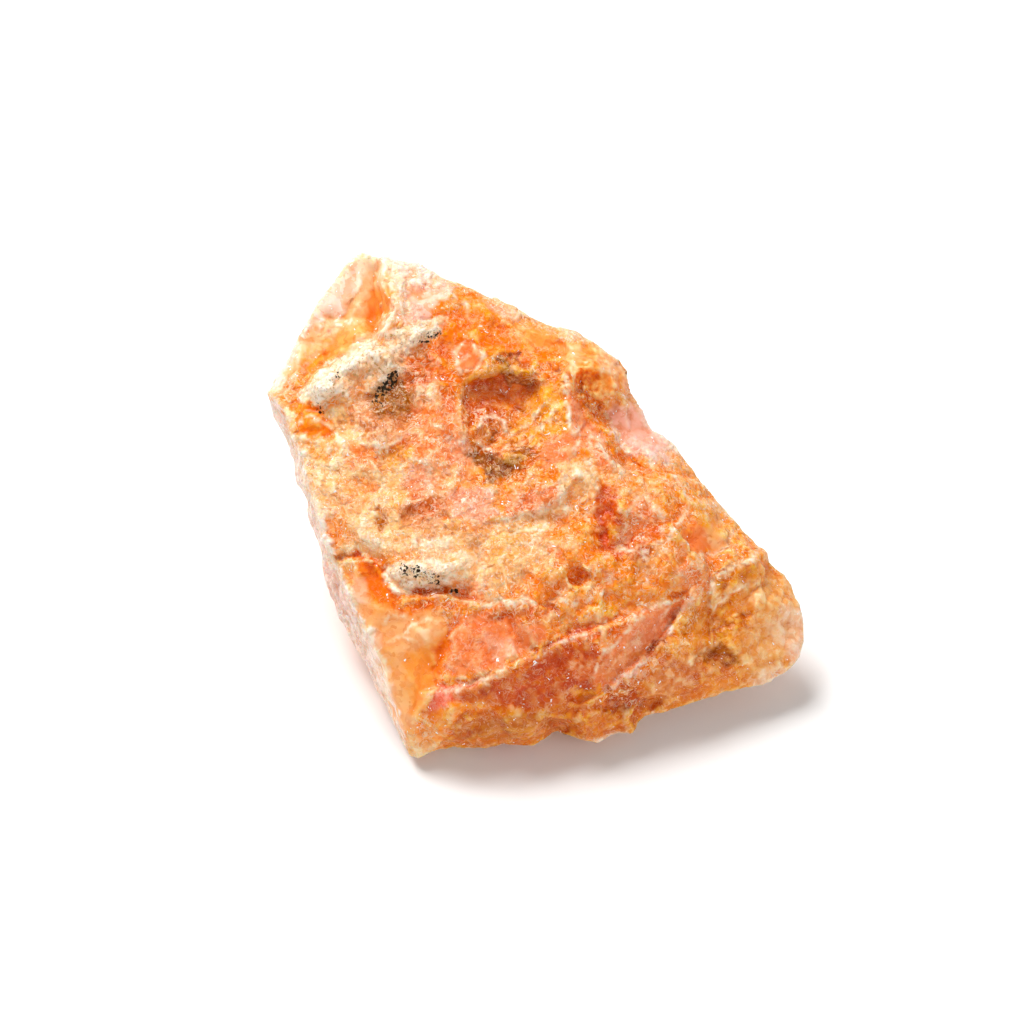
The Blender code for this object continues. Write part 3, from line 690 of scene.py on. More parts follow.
    # the salmon flake, with painted shade in the recess under its ragged lower edge
    Patch(Tint.SALMON, 1, 4, (590, 674, 604, 654, 628, 630, 634, 612, 650, 606, 690, 599, 665, 634,
        649, 650, 643, 664, 619, 683, 603, 691)),
    Patch(Tint.PALE_ROSE, 0.7, 3, (603, 691, 618, 682, 642, 664, 649, 650, 662, 636, 676, 617,
        690, 600), 2.5),
    Patch(Tint.MAUVE_BROWN, 0.45, 8, (592, 674, 606, 660, 640, 634, 650, 646, 616, 680)),
    Patch(Tint.MAUVE_PINK, 0.5, 6, (630, 640, 650, 618, 682, 603, 660, 631, 640, 650)),
    # painted shade: the rust and burnt patches here lie in the recess under the flake's lower edge
    Patch(Tint.RUST, 0.9, 4, (646, 651, 656, 639, 668, 632, 663, 643, 650, 657)),
    Patch(Tint.RUST, 0.85, 6, (606, 697, 630, 689, 653, 696, 653, 707, 624, 708)),
    Patch(Tint.BURNT, 0.6, 9, (606, 690, 622, 678, 650, 664, 660, 676, 640, 696, 612, 704)),
    # the honey-coloured low end, with painted shade below its ledges and in its small hollow
    Patch(Tint.HONEY, 1, 6, (668, 640, 686, 606, 708, 592, 712, 566, 760, 546, 790, 574, 804, 600,
        811, 640, 788, 676, 746, 692, 700, 702, 650, 718, 640, 692, 650, 664)),
    Patch(Tint.DEEP_HONEY, 0.7, 9, (650, 720, 640, 694, 655, 668, 690, 648, 716, 640, 730, 660,
        700, 700)),
    Patch(Tint.MAUVE_BROWN, 0.5, 9, (650, 666, 690, 650, 704, 664, 690, 690, 650, 706)),
    Patch(Tint.PALE_HONEY, 0.7, 9, (740, 580, 788, 580, 802, 612, 802, 640, 776, 670, 744, 682,
        740, 650, 752, 620)),
    # painted shade: the ochre, burnt and brown patches that follow lie below the ledges, in the
    # small hollow and under the flake's edge
    Patch(Tint.OCHRE, 0.85, 5, (713, 578, 732, 567, 757, 561, 753, 577, 730, 584, 716, 590)),
    Patch(Tint.OCHRE, 0.85, 5, (713, 632, 722, 620, 743, 613, 748, 628, 728, 642, 715, 642)),
    Patch(Tint.AMBER, 0.5, 6, (718, 602, 745, 596, 750, 610, 722, 617)),
    Patch(Tint.BURNT, 0.6, 8, (648, 660, 654, 644, 672, 636, 670, 656, 656, 670)),
    Patch(Tint.BURNT, 0.55, 9, (706, 660, 732, 656, 738, 676, 714, 682)),
    Patch(Tint.BURNT, 0.5, 8, (710, 562, 732, 558, 732, 576, 712, 584)),
    Patch(Tint.CREAM, 0.35, 10, (768, 618, 792, 616, 796, 640, 772, 644)),
    Patch(Tint.BROWN, 0.8, 6, (701, 653, 716, 644, 735, 648, 737, 663, 712, 668)),
    Patch(Tint.BURNT, 0.5, 9, (680, 668, 704, 664, 706, 690, 684, 694)),
    Patch(Tint.BRIGHT_ORANGE, 0.5, 8, (728, 590, 750, 590, 754, 608, 732, 610)),
    Patch(Tint.PALE_HONEY, 0.8, 4, (709, 604, 712, 578, 736, 567, 754, 555), 5),
    Patch(Tint.PALE_HONEY, 0.7, 4, (713, 622, 716, 602, 736, 589), 5),
    Patch(Tint.PALE_HONEY, 0.7, 4, (690, 660, 704, 652, 714, 644), 6),
    Patch(Tint.PALE_ROSE, 0.4, 10, (784, 606, 804, 602, 811, 640, 796, 664, 786, 650)),
    Patch(Tint.CREAM, 0.55, 6, (752, 677, 780, 664, 794, 668, 770, 690, 748, 692)),
    # darker and paler places over the rest
    Patch(Tint.BROWN, 0.75, 8, (374, 380, 396, 374, 414, 388, 410, 412, 386, 422, 368, 408)),
    Patch(Tint.OLIVE, 0.4, 8, (376, 382, 398, 378, 412, 392, 404, 408, 382, 412)),
    Patch(Tint.BROWN, 0.4, 9, (372, 420, 400, 416, 412, 432, 396, 442, 374, 438)),
    Patch(Tint.RUST, 0.35, 7, (412, 360, 428, 360, 430, 380, 414, 382)),
    Patch(Tint.BURNT, 0.6, 8, (408, 362, 430, 358, 434, 384, 420, 396, 406, 384)),
    Patch(Tint.MAUVE_BROWN, 0.75, 8, (352, 404, 382, 420, 410, 416, 416, 432, 386, 442, 352, 424)),
    Patch(Tint.CREAM, 0.6, 6, (392, 304, 408, 300, 412, 316, 396, 320)),
    Patch(Tint.PEACH, 0.65, 7, (548, 502, 566, 498, 574, 512, 560, 522, 546, 518)),
    Patch(Tint.YELLOW_CREAM, 0.6, 7, (568, 482, 588, 476, 596, 490, 580, 500)),
    Patch(Tint.BURNT, 0.8, 7, (604, 540, 634, 541, 652, 548, 644, 559, 610, 558)),
    Patch(Tint.BURNT, 0.45, 8, (648, 520, 668, 518, 672, 536, 652, 540)),
    Patch(Tint.RUST, 0.5, 7, (450, 686, 482, 681, 498, 688, 486, 699, 456, 701)),
    # painted shade, darker still, under the flake's lower edge
    Patch(Tint.RUST, 0.6, 7, (606, 690, 628, 682, 640, 690, 620, 702)),
    Patch(Tint.PALE_ROSE, 0.6, 8, (366, 640, 378, 664), 16),
    Patch(Tint.YELLOW_CREAM, 0.5, 8, (394, 680, 408, 676, 412, 700, 402, 712)),
    Patch(Tint.PINK, 0.6, 8, (352, 580, 366, 578, 370, 600, 356, 604)),
    Patch(Tint.RUST, 0.4, 7, (472, 400, 494, 400, 498, 420, 486, 440, 474, 424)),
    Patch(Tint.BROWN, 0.5, 7, (508, 442, 530, 440, 528, 460, 508, 462)),
    Patch(Tint.OCHRE, 0.8, 6, (508, 360, 530, 360, 534, 378, 510, 378)),
    Patch(Tint.FLAME, 0.55, 8, (578, 366, 600, 366, 606, 386, 590, 394, 576, 384)),
    # the rosy glass of the left wall
    Patch(Tint.ROSE_GLASS, 1, 4, (260, 394, 276, 400, 292, 440, 306, 490, 320, 520, 332, 560,
        352, 604, 376, 648, 390, 700, 406, 742, 392, 748, 368, 686, 334, 620, 310, 545, 290, 490,
        274, 434)),
    Patch(Tint.ROSE, 0.35, 6, (318, 566, 336, 560, 352, 596, 346, 616, 330, 602)),
    Patch(Tint.PALE_ROSE, 0.9, 5, (290, 432, 312, 500, 334, 562, 356, 614, 380, 676, 402, 740), 6),
)

# Pale veins that follow no stroke
VEINS = (
    Vein(4, (566, 376, 568, 400, 568, 426, 584, 431, 598, 440, 610, 458, 622, 474)),
    Vein(3, (600, 444, 590, 452, 586, 462)),
    Vein(3, (646, 408, 652, 424, 664, 440)),
    Vein(3, (606, 414, 622, 442, 650, 464, 672, 465)),
    Vein(4, (482, 607, 500, 601, 520, 602, 536, 604)),
    Vein(3, (302, 332, 326, 319, 344, 323, 357, 291, 358, 274)),
    Vein(4, (506, 521, 535, 516, 556, 506, 566, 491)),
    Vein(3, (510, 534, 540, 528, 560, 516, 574, 500)),
    Vein(3, (672, 470, 690, 500, 680, 520, 668, 540)),
    Vein(3, (650, 500, 664, 520, 662, 540, 644, 552)),
    Vein(3, (698, 556, 714, 555, 728, 546, 733, 532)),
    Vein(4, (709, 606, 712, 578, 736, 567, 754, 556, 760, 546)),
    Vein(3, (713, 624, 717, 602, 736, 590, 750, 585)),
    Vein(3, (690, 662, 704, 652, 714, 644)),
    Vein(3, (396, 470, 410, 458, 426, 462, 430, 476)),
    Vein(3, (294, 452, 314, 462, 320, 488, 312, 500)),
    Vein(4, (305, 478, 312, 500, 320, 515, 325, 540, 333, 557, 345, 580, 355, 600, 372, 640,
        387, 665, 385, 690, 392, 720, 404, 745)),
    Vein(3, (448, 694, 462, 686, 480, 681, 496, 676)),
    Vein(3, (540, 656, 560, 645, 584, 634)),
    Vein(3, (604, 560, 618, 548, 640, 552, 652, 566, 646, 584)),
    Vein(3, (560, 598, 574, 606, 596, 600, 612, 588)),
    Vein(3, (500, 560, 512, 546, 530, 544, 544, 552)),
    Vein(3, (600, 742, 618, 734, 634, 735, 655, 714)),
    Vein(3, (440, 300, 452, 296, 466, 304, 468, 318)),
    Vein(3, (420, 560, 436, 552, 456, 556)),
)

# Rusty points
RUST_SPOTS = (
    (325, 354), (321, 363), (294, 388), (329, 331), (297, 432), (336, 512), (330, 510), (339, 422),
    (368, 394), (494, 438), (617, 364), (345, 368), (374, 352), (604, 492), (578, 583), (466, 530),
    (446, 526), (452, 533), (428, 537), (434, 536), (418, 541), (479, 545), (523, 317), (383, 580),
)

# Clean, glossy breaks
SMOOTH_BREAKS = (
    Area(10, (275, 380, 300, 332, 345, 262, 386, 262, 392, 300, 374, 336, 345, 352, 300, 372)),
    Area(10, (558, 340, 600, 346, 628, 372, 628, 394, 596, 396, 566, 374)),
    Area(8, (605, 404, 632, 402, 650, 424, 640, 440, 620, 434)),
    Area(8, (684, 526, 712, 520, 728, 538, 720, 552, 692, 554)),
    Area(10, (350, 570, 392, 604, 440, 612, 452, 650, 436, 690, 404, 740, 376, 684)),
    Area(6, (300, 404, 318, 410, 332, 424, 328, 438, 300, 438)),
    Area(6, (352, 556, 384, 558, 392, 600, 366, 590)),
    Area(8, (455, 342, 480, 342, 486, 366, 462, 374)),
    Area(8, (402, 292, 436, 288, 446, 302, 420, 322)),
    Area(8, (530, 324, 556, 336, 550, 352, 526, 344)),
)

# Places that shine a little
GLASSY = (
    Area(8, (440, 745, 428, 715, 440, 690, 490, 680, 560, 645, 600, 650, 600, 698, 655, 712,
        630, 736, 560, 738, 500, 748)),
    Area(8, (650, 715, 640, 690, 690, 640, 712, 590, 760, 550, 800, 600, 808, 640, 788, 672,
        740, 686, 700, 700)),
    Area(8, (466, 378, 500, 372, 536, 384, 560, 378, 558, 400, 512, 412, 470, 412)),
    Area(10, (452, 616, 540, 622, 548, 637, 490, 672, 450, 677)),
    Area(8, (560, 386, 600, 430, 580, 470, 545, 470, 545, 445, 566, 430)),
    Area(8, (432, 322, 470, 292, 560, 362, 505, 356, 440, 352)),
    Area(6, (596, 682, 604, 646, 644, 612, 686, 600, 660, 640, 612, 682)),
    Area(8, (605, 404, 632, 402, 672, 452, 668, 466, 632, 450)),
    Area(10, (596, 480, 616, 484, 624, 520, 618, 552, 596, 552, 592, 516)),
)

# The dry, raised crusts
CRUSTS = (
    Area(8, (305, 398, 318, 376, 336, 362, 354, 356, 372, 344, 398, 346, 404, 357, 396, 376,
        384, 392, 372, 384, 356, 380, 344, 396, 330, 402, 312, 408)),
    Area(8, (386, 332, 410, 324, 438, 318, 440, 329, 424, 342, 404, 352, 386, 346)),
    Area(15, (394, 568, 414, 562, 440, 565, 450, 578, 434, 586, 410, 588, 394, 580)),
)

# Where manganese specks gather: the strength is how dense they are
SOOT_SPOTS = (
    Patch(Tint.SOOT, 0.9, 8, (395, 374, 388, 386, 384, 398), 17),
    Patch(Tint.SOOT, 0.95, 6, (390, 388, 384, 402), 6),
    Patch(Tint.SOOT, 0.9, 6, (315, 399, 318, 413), 7),
    Patch(Tint.SOOT, 0.8, 6, (330, 379, 338, 377), 8),
    Patch(Tint.SOOT, 0.8, 8, (424, 343, 436, 332), 10),
    Patch(Tint.SOOT, 0.84, 8, (405, 569, 418, 572), 11),
    Patch(Tint.SOOT, 0.74, 8, (422, 574, 440, 580), 12),
    Patch(Tint.SOOT, 1, 4, (457, 590), 8),
    Patch(Tint.SOOT, 0.9, 6, (500, 362, 510, 357, 524, 350), 3),
    Patch(Tint.SOOT, 0.85, 8, (506, 368, 518, 377), 4),
)

# The granular, honey-coloured bands
LUMPY = (
    Area(12, (660, 470, 700, 478, 745, 530, 762, 556, 740, 560, 700, 520)),
    Area(14, (715, 560, 770, 552, 800, 596, 806, 640, 780, 676, 740, 684, 720, 640)),
)

# The small forms of the front
FRONT_STROKES = (
    # the shoulder, the white ridge and the first crust
    Stroke(Form.LEDGE, 0.2, 9, (304, 330, 326, 318, 344, 322, 355, 296)),
    Stroke(Form.LEDGE, 0.3, 10, (384, 286, 389, 296, 391, 306, 387, 318, 378, 330, 370, 345)),
    Stroke(Form.RIDGE, 0.07, 5, (392, 264, 402, 282, 397, 302, 386, 326, 374, 342)),
    Stroke(Form.LEDGE, 0.1, 9, (374, 336, 368, 318, 372, 290)),
    Stroke(Form.LEDGE, 0.12, 8, (370, 344, 345, 358, 330, 362, 319, 374, 302, 394)),
    Stroke(Form.LEDGE, 0.12, 8, (310, 408, 330, 402, 352, 400, 376, 394, 392, 374, 402, 354)),
    Stroke(Form.LEDGE, 0.18, 6, (440, 318, 400, 330, 384, 346)),
    Stroke(Form.LEDGE, 0.18, 6, (402, 356, 418, 346, 438, 331)),
    Stroke(Form.HOLLOW, 0.15, 7, (346, 384, 366, 380)),
    Stroke(Form.LUMP, 0.5, 9, (318, 392, 326, 386)),
    Stroke(Form.LUMP, 0.4, 7, (341, 368)),
    Stroke(Form.LUMP, 0.35, 9, (364, 354, 372, 352)),
    Stroke(Form.LUMP, 0.45, 8, (390, 362)),
    Stroke(Form.LUMP, 0.3, 7, (336, 394)),
    Stroke(Form.LUMP, 0.35, 6, (416, 334)),
    # the facet above the hollow, and the pink patch
    Stroke(Form.LEDGE, 0.15, 7, (466, 342, 455, 352, 462, 374, 478, 368, 486, 352,
        466, 342), vein=3),
    Stroke(Form.LEDGE, 0.12, 7, (402, 320, 404, 302, 414, 288, 440, 284)),
    Stroke(Form.LEDGE, 0.12, 8, (500, 326, 522, 330, 556, 348)),
    # the hollow with its olive crystal and its hole
    Stroke(Form.LEDGE, 0.12, 12, (462, 374, 500, 366, 536, 376, 566, 374)),
    Stroke(Form.LEDGE, 0.03, 12, (468, 442, 462, 420, 466, 400, 462, 376)),
    Stroke(Form.LEDGE, 0.2, 10, (532, 464, 510, 484, 490, 482, 474, 464)),
    Stroke(Form.HOLLOW, 0.5, 3.5, (494, 438)),
    Stroke(Form.LUMP, 0.25, 8, (514, 370, 526, 374)),
    Stroke(Form.GROOVE, 0.22, 3, (499, 366, 504, 359, 516, 356)),
    Stroke(Form.RIDGE, 0.1, 2.5, (478, 426, 484, 418, 496, 415, 505, 423, 506, 434), vein=3),
    Stroke(Form.RIDGE, 0.1, 2.5, (480, 440, 487, 449, 498, 452, 510, 445), vein=3),
    Stroke(Form.RIDGE, 0.12, 3, (518, 448, 536, 432, 556, 412), vein=3),
    Stroke(Form.RIDGE, 0.1, 3, (512, 436, 530, 420, 548, 400), vein=3),
    # the crest, its veins and the valley
    Stroke(Form.RIDGE, 0.16, 4, (566, 374, 568, 400, 568, 426, 584, 431, 598, 440, 610, 458,
        622, 474)),
    Stroke(Form.RIDGE, 0.09, 2, (580, 434, 577, 446, 573, 458), vein=3),
    Stroke(Form.RIDGE, 0.08, 2, (588, 436, 592, 450), vein=3),
    Stroke(Form.GROOVE, 0.14, 5, (578, 396, 592, 414, 606, 436, 640, 464)),
    Stroke(Form.LEDGE, 0.12, 8, (676, 464, 652, 466, 630, 454, 610, 434, 606, 412)),
    Stroke(Form.LUMP, 0.3, 11, (575, 352, 578, 366)),
    Stroke(Form.LUMP, 0.55, 15, (602, 364, 612, 378)),
    Stroke(Form.LUMP, 0.45, 13, (594, 388, 606, 396)),
    Stroke(Form.GROOVE, 0.06, 4, (588, 344, 591, 365, 580, 384)),
    Stroke(Form.LUMP, 1.05, 13, (589, 374, 596, 390)),
    # the arc, the dark groove and the pit
    Stroke(Form.LEDGE, 0.12, 9, (506, 521, 535, 515, 556, 505, 566, 490, 562, 476)),
    Stroke(Form.RIDGE, 0.05, 3, (520, 530, 552, 524, 576, 504, 596, 484)),
    Stroke(Form.HOLLOW, 0.3, 9, (604, 486, 606, 515, 602, 545)),
    Stroke(Form.LUMP, 0.45, 5, (584, 570)),
    Stroke(Form.LUMP, 0.3, 4, (571, 585)),
    Stroke(Form.LEDGE, 0.12, 6, (560, 560, 570, 566, 584, 562, 594, 570)),
    Stroke(Form.LEDGE, 0.12, 6, (664, 524, 668, 540, 680, 544, 690, 532, 684, 520, 664, 524)),
    Stroke(Form.LEDGE, 0.22, 7, (698, 556, 714, 554, 728, 545, 732, 532)),
    Stroke(Form.LEDGE, 0.12, 7, (624, 540, 628, 512, 640, 496, 654, 496), vein=3),
    # the middle left
    Stroke(Form.RIDGE, 0.14, 4, (288, 441, 304, 436, 322, 441, 331, 451), vein=3),
    Stroke(Form.RIDGE, 0.12, 3.5, (294, 452, 314, 462, 320, 488)),
    Stroke(Form.RIDGE, 0.1, 3, (300, 424, 312, 417, 330, 428, 342, 438), vein=3),
    Stroke(Form.GROOVE, 0.14, 4, (296, 408, 316, 413)),
    Stroke(Form.RIDGE, 0.1, 3, (352, 430, 364, 444, 384, 446, 404, 440), vein=3),
    Stroke(Form.HOLLOW, 0.16, 7, (346, 455, 372, 458)),
    Stroke(Form.HOLLOW, 0.16, 9, (414, 512, 434, 503)),
    Stroke(Form.GROOVE, 0.18, 3, (380, 508, 384, 526)),
    Stroke(Form.GROOVE, 0.12, 2, (394, 546, 404, 542, 410, 536)),
    Stroke(Form.GROOVE, 0.12, 2, (482, 540, 498, 534, 510, 528)),
    Stroke(Form.LUMP, 0.15, 8, (470, 537)),
    # the cushion, the second crust and the pale ledge
    Stroke(Form.LUMP, 0.2, 10, (392, 576, 420, 566, 448, 572)),
    Stroke(Form.LEDGE, 0.15, 8, (378, 574, 392, 592, 420, 593, 440, 587, 454, 590)),
    Stroke(Form.LEDGE, 0.32, 8, (338, 556, 352, 552, 366, 556, 382, 568)),
    Stroke(Form.LEDGE, 0.22, 8, (482, 607, 500, 601, 520, 603, 548, 606)),
    Stroke(Form.RIDGE, 0.08, 2, (482, 607, 500, 601, 520, 603, 536, 604)),
    # the smooth lower left, with its squiggles and its crease
    Stroke(Form.RIDGE, 0.07, 2, (384, 624, 394, 613, 404, 616), vein=3),
    Stroke(Form.RIDGE, 0.07, 2, (402, 634, 412, 622, 424, 618, 432, 622), vein=3),
    Stroke(Form.RIDGE, 0.07, 2, (390, 642, 400, 636, 412, 640), vein=3),
    Stroke(Form.RIDGE, 0.06, 2, (404, 650, 416, 642)),
    Stroke(Form.GROOVE, 0.18, 5, (454, 622, 446, 640, 438, 660, 437, 680)),
    # the crest of the front wall, and the wall's lumps
    Stroke(Form.LEDGE, 0.25, 10, (430, 702, 440, 686, 490, 677, 524, 657, 556, 641, 590, 622,
        630, 604)),
    Stroke(Form.GROOVE, 0.18, 5, (560, 736, 572, 716, 600, 704, 640, 707)),
    Stroke(Form.GROOVE, 0.15, 4, (444, 746, 452, 725, 470, 706)),
    Stroke(Form.LUMP, 0.2, 12, (482, 734)),
    Stroke(Form.LUMP, 0.22, 14, (600, 726)),
    Stroke(Form.LUMP, 0.15, 10, (540, 724)),
    Stroke(Form.RIDGE, 0.1, 4, (566, 676, 584, 660, 598, 662)),
    # the flake, its crevice and the deep dent
    Stroke(Form.LEDGE, 0.18, 8, (603, 692, 618, 681, 642, 664, 649, 650, 662, 637, 676, 618,
        690, 601)),
    Stroke(Form.RIDGE, 0.08, 3, (592, 674, 604, 655, 628, 631, 634, 614, 650, 607,
        684, 598), vein=3),
    Stroke(Form.GROOVE, 0.08, 3, (606, 664, 630, 646, 652, 622, 668, 606)),
    Stroke(Form.GROOVE, 0.12, 4, (648, 653, 657, 643, 666, 634)),
    Stroke(Form.HOLLOW, 0.4, 8, (612, 699, 632, 696, 650, 702)),
    # the ledges of the honey-coloured end
    Stroke(Form.LEDGE, 0.32, 9, (708, 612, 711, 590, 716, 574, 736, 566, 752, 557, 758, 546)),
    Stroke(Form.LEDGE, 0.28, 8, (712, 638, 713, 616, 720, 599, 738, 589, 750, 584)),
    Stroke(Form.LEDGE, 0.28, 8, (696, 660, 712, 646, 714, 633, 724, 622, 744, 614)),
    Stroke(Form.HOLLOW, 0.3, 8, (706, 654, 724, 652)),
    Stroke(Form.LUMP, 0.2, 12, (770, 600)),
    Stroke(Form.LUMP, 0.2, 12, (764, 656)),
    Stroke(Form.GROOVE, 0.12, 4, (676, 660, 664, 690, 650, 708)),
    # the edge of the left wall, and the glassy blocks below it
    Stroke(Form.RIDGE, 0.14, 4, (284, 428, 300, 478, 312, 505, 332, 560, 352, 606, 374, 646,
        388, 690, 400, 738)),
    Stroke(Form.GROOVE, 0.15, 2.5, (314, 562, 332, 556)),
    Stroke(Form.GROOVE, 0.15, 2.5, (326, 592, 344, 584)),
    Stroke(Form.GROOVE, 0.15, 2.5, (336, 616, 353, 608)),
    Stroke(Form.GROOVE, 0.15, 2.5, (350, 644, 369, 636)),
    Stroke(Form.GROOVE, 0.12, 2.5, (370, 678, 384, 672)),
)

# What noise scatters under the patches, over them and on the dry crusts
BLOTCHES = (Fleck(Tint.YELLOW_CREAM, 0.45, 0.05, 0.45), Fleck(Tint.SALMON, 0.15, 0.05, 0.45, -1))
CREAM_FLECK = Fleck(Tint.YELLOW_CREAM, 0.20, 0.1, 0.5)
SALMON_FLECK = Fleck(Tint.SALMON, 0.10, 0.1, 0.5, -1)
CRUST_FLECKS = (Fleck(Tint.CHALK, 0.55, -0.15, 0.30), Fleck(Tint.TAN, 0.70, 0.0, 0.35, -1))

# The tints of the sides that the picture doesn't show
HIDDEN_TINTS = (
    Tint.ORANGE, Tint.SOFT_ORANGE, Tint.SALMON, Tint.HONEY, Tint.PEACH, Tint.ROSE_GLASS,
    Tint.BRIGHT_ORANGE, Tint.YELLOW_CREAM, Tint.MAUVE_PINK,
)


class Field:
    """What the sculpting and the painting know of each point of the skin."""

    # How directly a point faces the eye: where the front strokes and the front paint fade in
    FRONT_RIM = (-0.05, 0.12)
    PAINT_RIM = (-0.55, -0.15)
    # The waves that make edges ragged: how many pixels, how many millimetres, and a seed
    RAGGED = ((6.0, 1.7, 11), (6.0, 0.75, 15), (4.0, 0.35, 19))

    def __init__(self, points: np.ndarray, normals: np.ndarray) -> None:
        """Works out where the points show, and a copy of those places with ragged edges."""
        self.points = points
        self.normals = normals
        self.pixels = VIEW.pixels(points)
        facing = normals @ VIEW.sight
        self.front = eased(facing, *self.FRONT_RIM)
        self.round_rim = eased(facing, *self.PAINT_RIM)
        self.ragged = np.stack([
            sum(reach * swell(points, size, seed + n) for reach, size, seed in self.RAGGED)
            for n in range(2)
        ], axis=1)
        self.warped = self.pixels + self.ragged

    def cover(self, areas: tuple[Area, ...]) -> np.ndarray:
        """How far each point belongs to any of the areas of the front."""
        return np.max([area.cover(self.warped) for area in areas], axis=0) * self.front


class Relaxer:
    """Averages values over neighbouring points, again and again."""

    def __init__(self, mesh: bpy.types.Mesh) -> None:
        """Reads which points are neighbours."""
        ends = np.empty(len(mesh.edges) * 2, np.int32)
        mesh.edges.foreach_get("vertices", ends)
        self.start, self.end = ends.reshape(-1, 2).T
        self.count = len(mesh.vertices)
        starts, stops = (np.bincount(which, minlength=self.count)
                         for which in (self.start, self.end))
        self.neighbours = np.maximum(starts + stops, 1)

    def relax(self, values: np.ndarray, rounds: int) -> np.ndarray:
        """Averages column by column.

        Args:
            values: One value, or one row of them, for each point.
            rounds: How many times.

        Returns:
            The values after that.
        """
        columns = list(values.reshape(self.count, -1).T)
        for _ in range(rounds):
            columns = [
                0.5 * column + 0.5 * (
                    np.bincount(self.start, column[self.end], self.count)
                    + np.bincount(self.end, column[self.start], self.count)
                ) / self.neighbours
                for column in columns
            ]
        return np.stack(columns, axis=1).reshape(values.shape)


class Masks(NamedTuple):
    """How smooth, how crusty, how glossy and how thin the stone is at each point, from 0 to 1."""

    smooth: np.ndarray
    crust: np.ndarray
    gloss: np.ndarray
    thin: np.ndarray


@dataclass(frozen=True)
class Relief:
    """The forms that noise gives the skin: their patterns, and their heights in millimetres."""

    chips: CellPattern = CellPattern(2.1, 41, 1.3, 0.55, 401)
    chip_height: float = 0.30
    worn_chip_height: float = 0.08
    flakes: CellPattern = CellPattern(0.95, 43, 0.7, 0.3, 411)
    flake_height: float = 0.12
    bowl_middle: float = 0.2
    teeth: Waves = Waves(0.5, 2, 47)
    dimples: Waves = Waves(0.9, 2, 51)
    fine_height: float = 0.02
    knobs: CellPattern = CellPattern(0.95, 45, 0.8, 0.3, 421)
    knob_top: float = 0.6
    crust_knob_height: float = 0.24
    crust_knob_steepness: float = 1.7
    band_knob_height: float = 0.16
    band_knob_steepness: float = 1.5
    crumbs: Waves = Waves(0.55, 2, 53)
    crumb_height: float = 0.09
    creases: Waves = Waves(1.15, 1, 61)
    crease_width: float = 0.10
    crease_height: float = 0.03

    def height(self, points: np.ndarray, smooth: np.ndarray, crust: np.ndarray,
               lumpy: np.ndarray) -> np.ndarray:
        """Adds up the forms.

        Args:
            points: Rows of places in millimetres.
            smooth: How far each point lies on a clean break.
            crust: How far it lies on a dry crust.
            lumpy: How far it lies on the granular bands.

        Returns:
            The height over the plain skin at each point, in millimetres.
        """
        chip = self.chips.at(points).bowl - self.bowl_middle
        flake = self.flakes.at(points).bowl - self.bowl_middle
        knob = self.knobs.at(points).near ** 2
        crease = np.abs(self.creases.at(self.chips.bent(points))) / self.crease_width
        rugged = (1 - smooth) * (1 - crust)
        height = rugged * (
            self.chip_height * chip + self.flake_height * flake
            + self.fine_height * self.teeth.at(points)
            + self.crease_height * (1 - np.minimum(1, crease))
        )
        height += smooth * (self.worn_chip_height * chip
                            + self.fine_height * self.dimples.at(points))
        height += crust * (
            self.crust_knob_height * (self.knob_top - self.crust_knob_steepness * knob)
            + self.crumb_height * self.crumbs.at(points)
        )
        height += lumpy * self.band_knob_height * (self.knob_top - self.band_knob_steepness * knob)
        return height


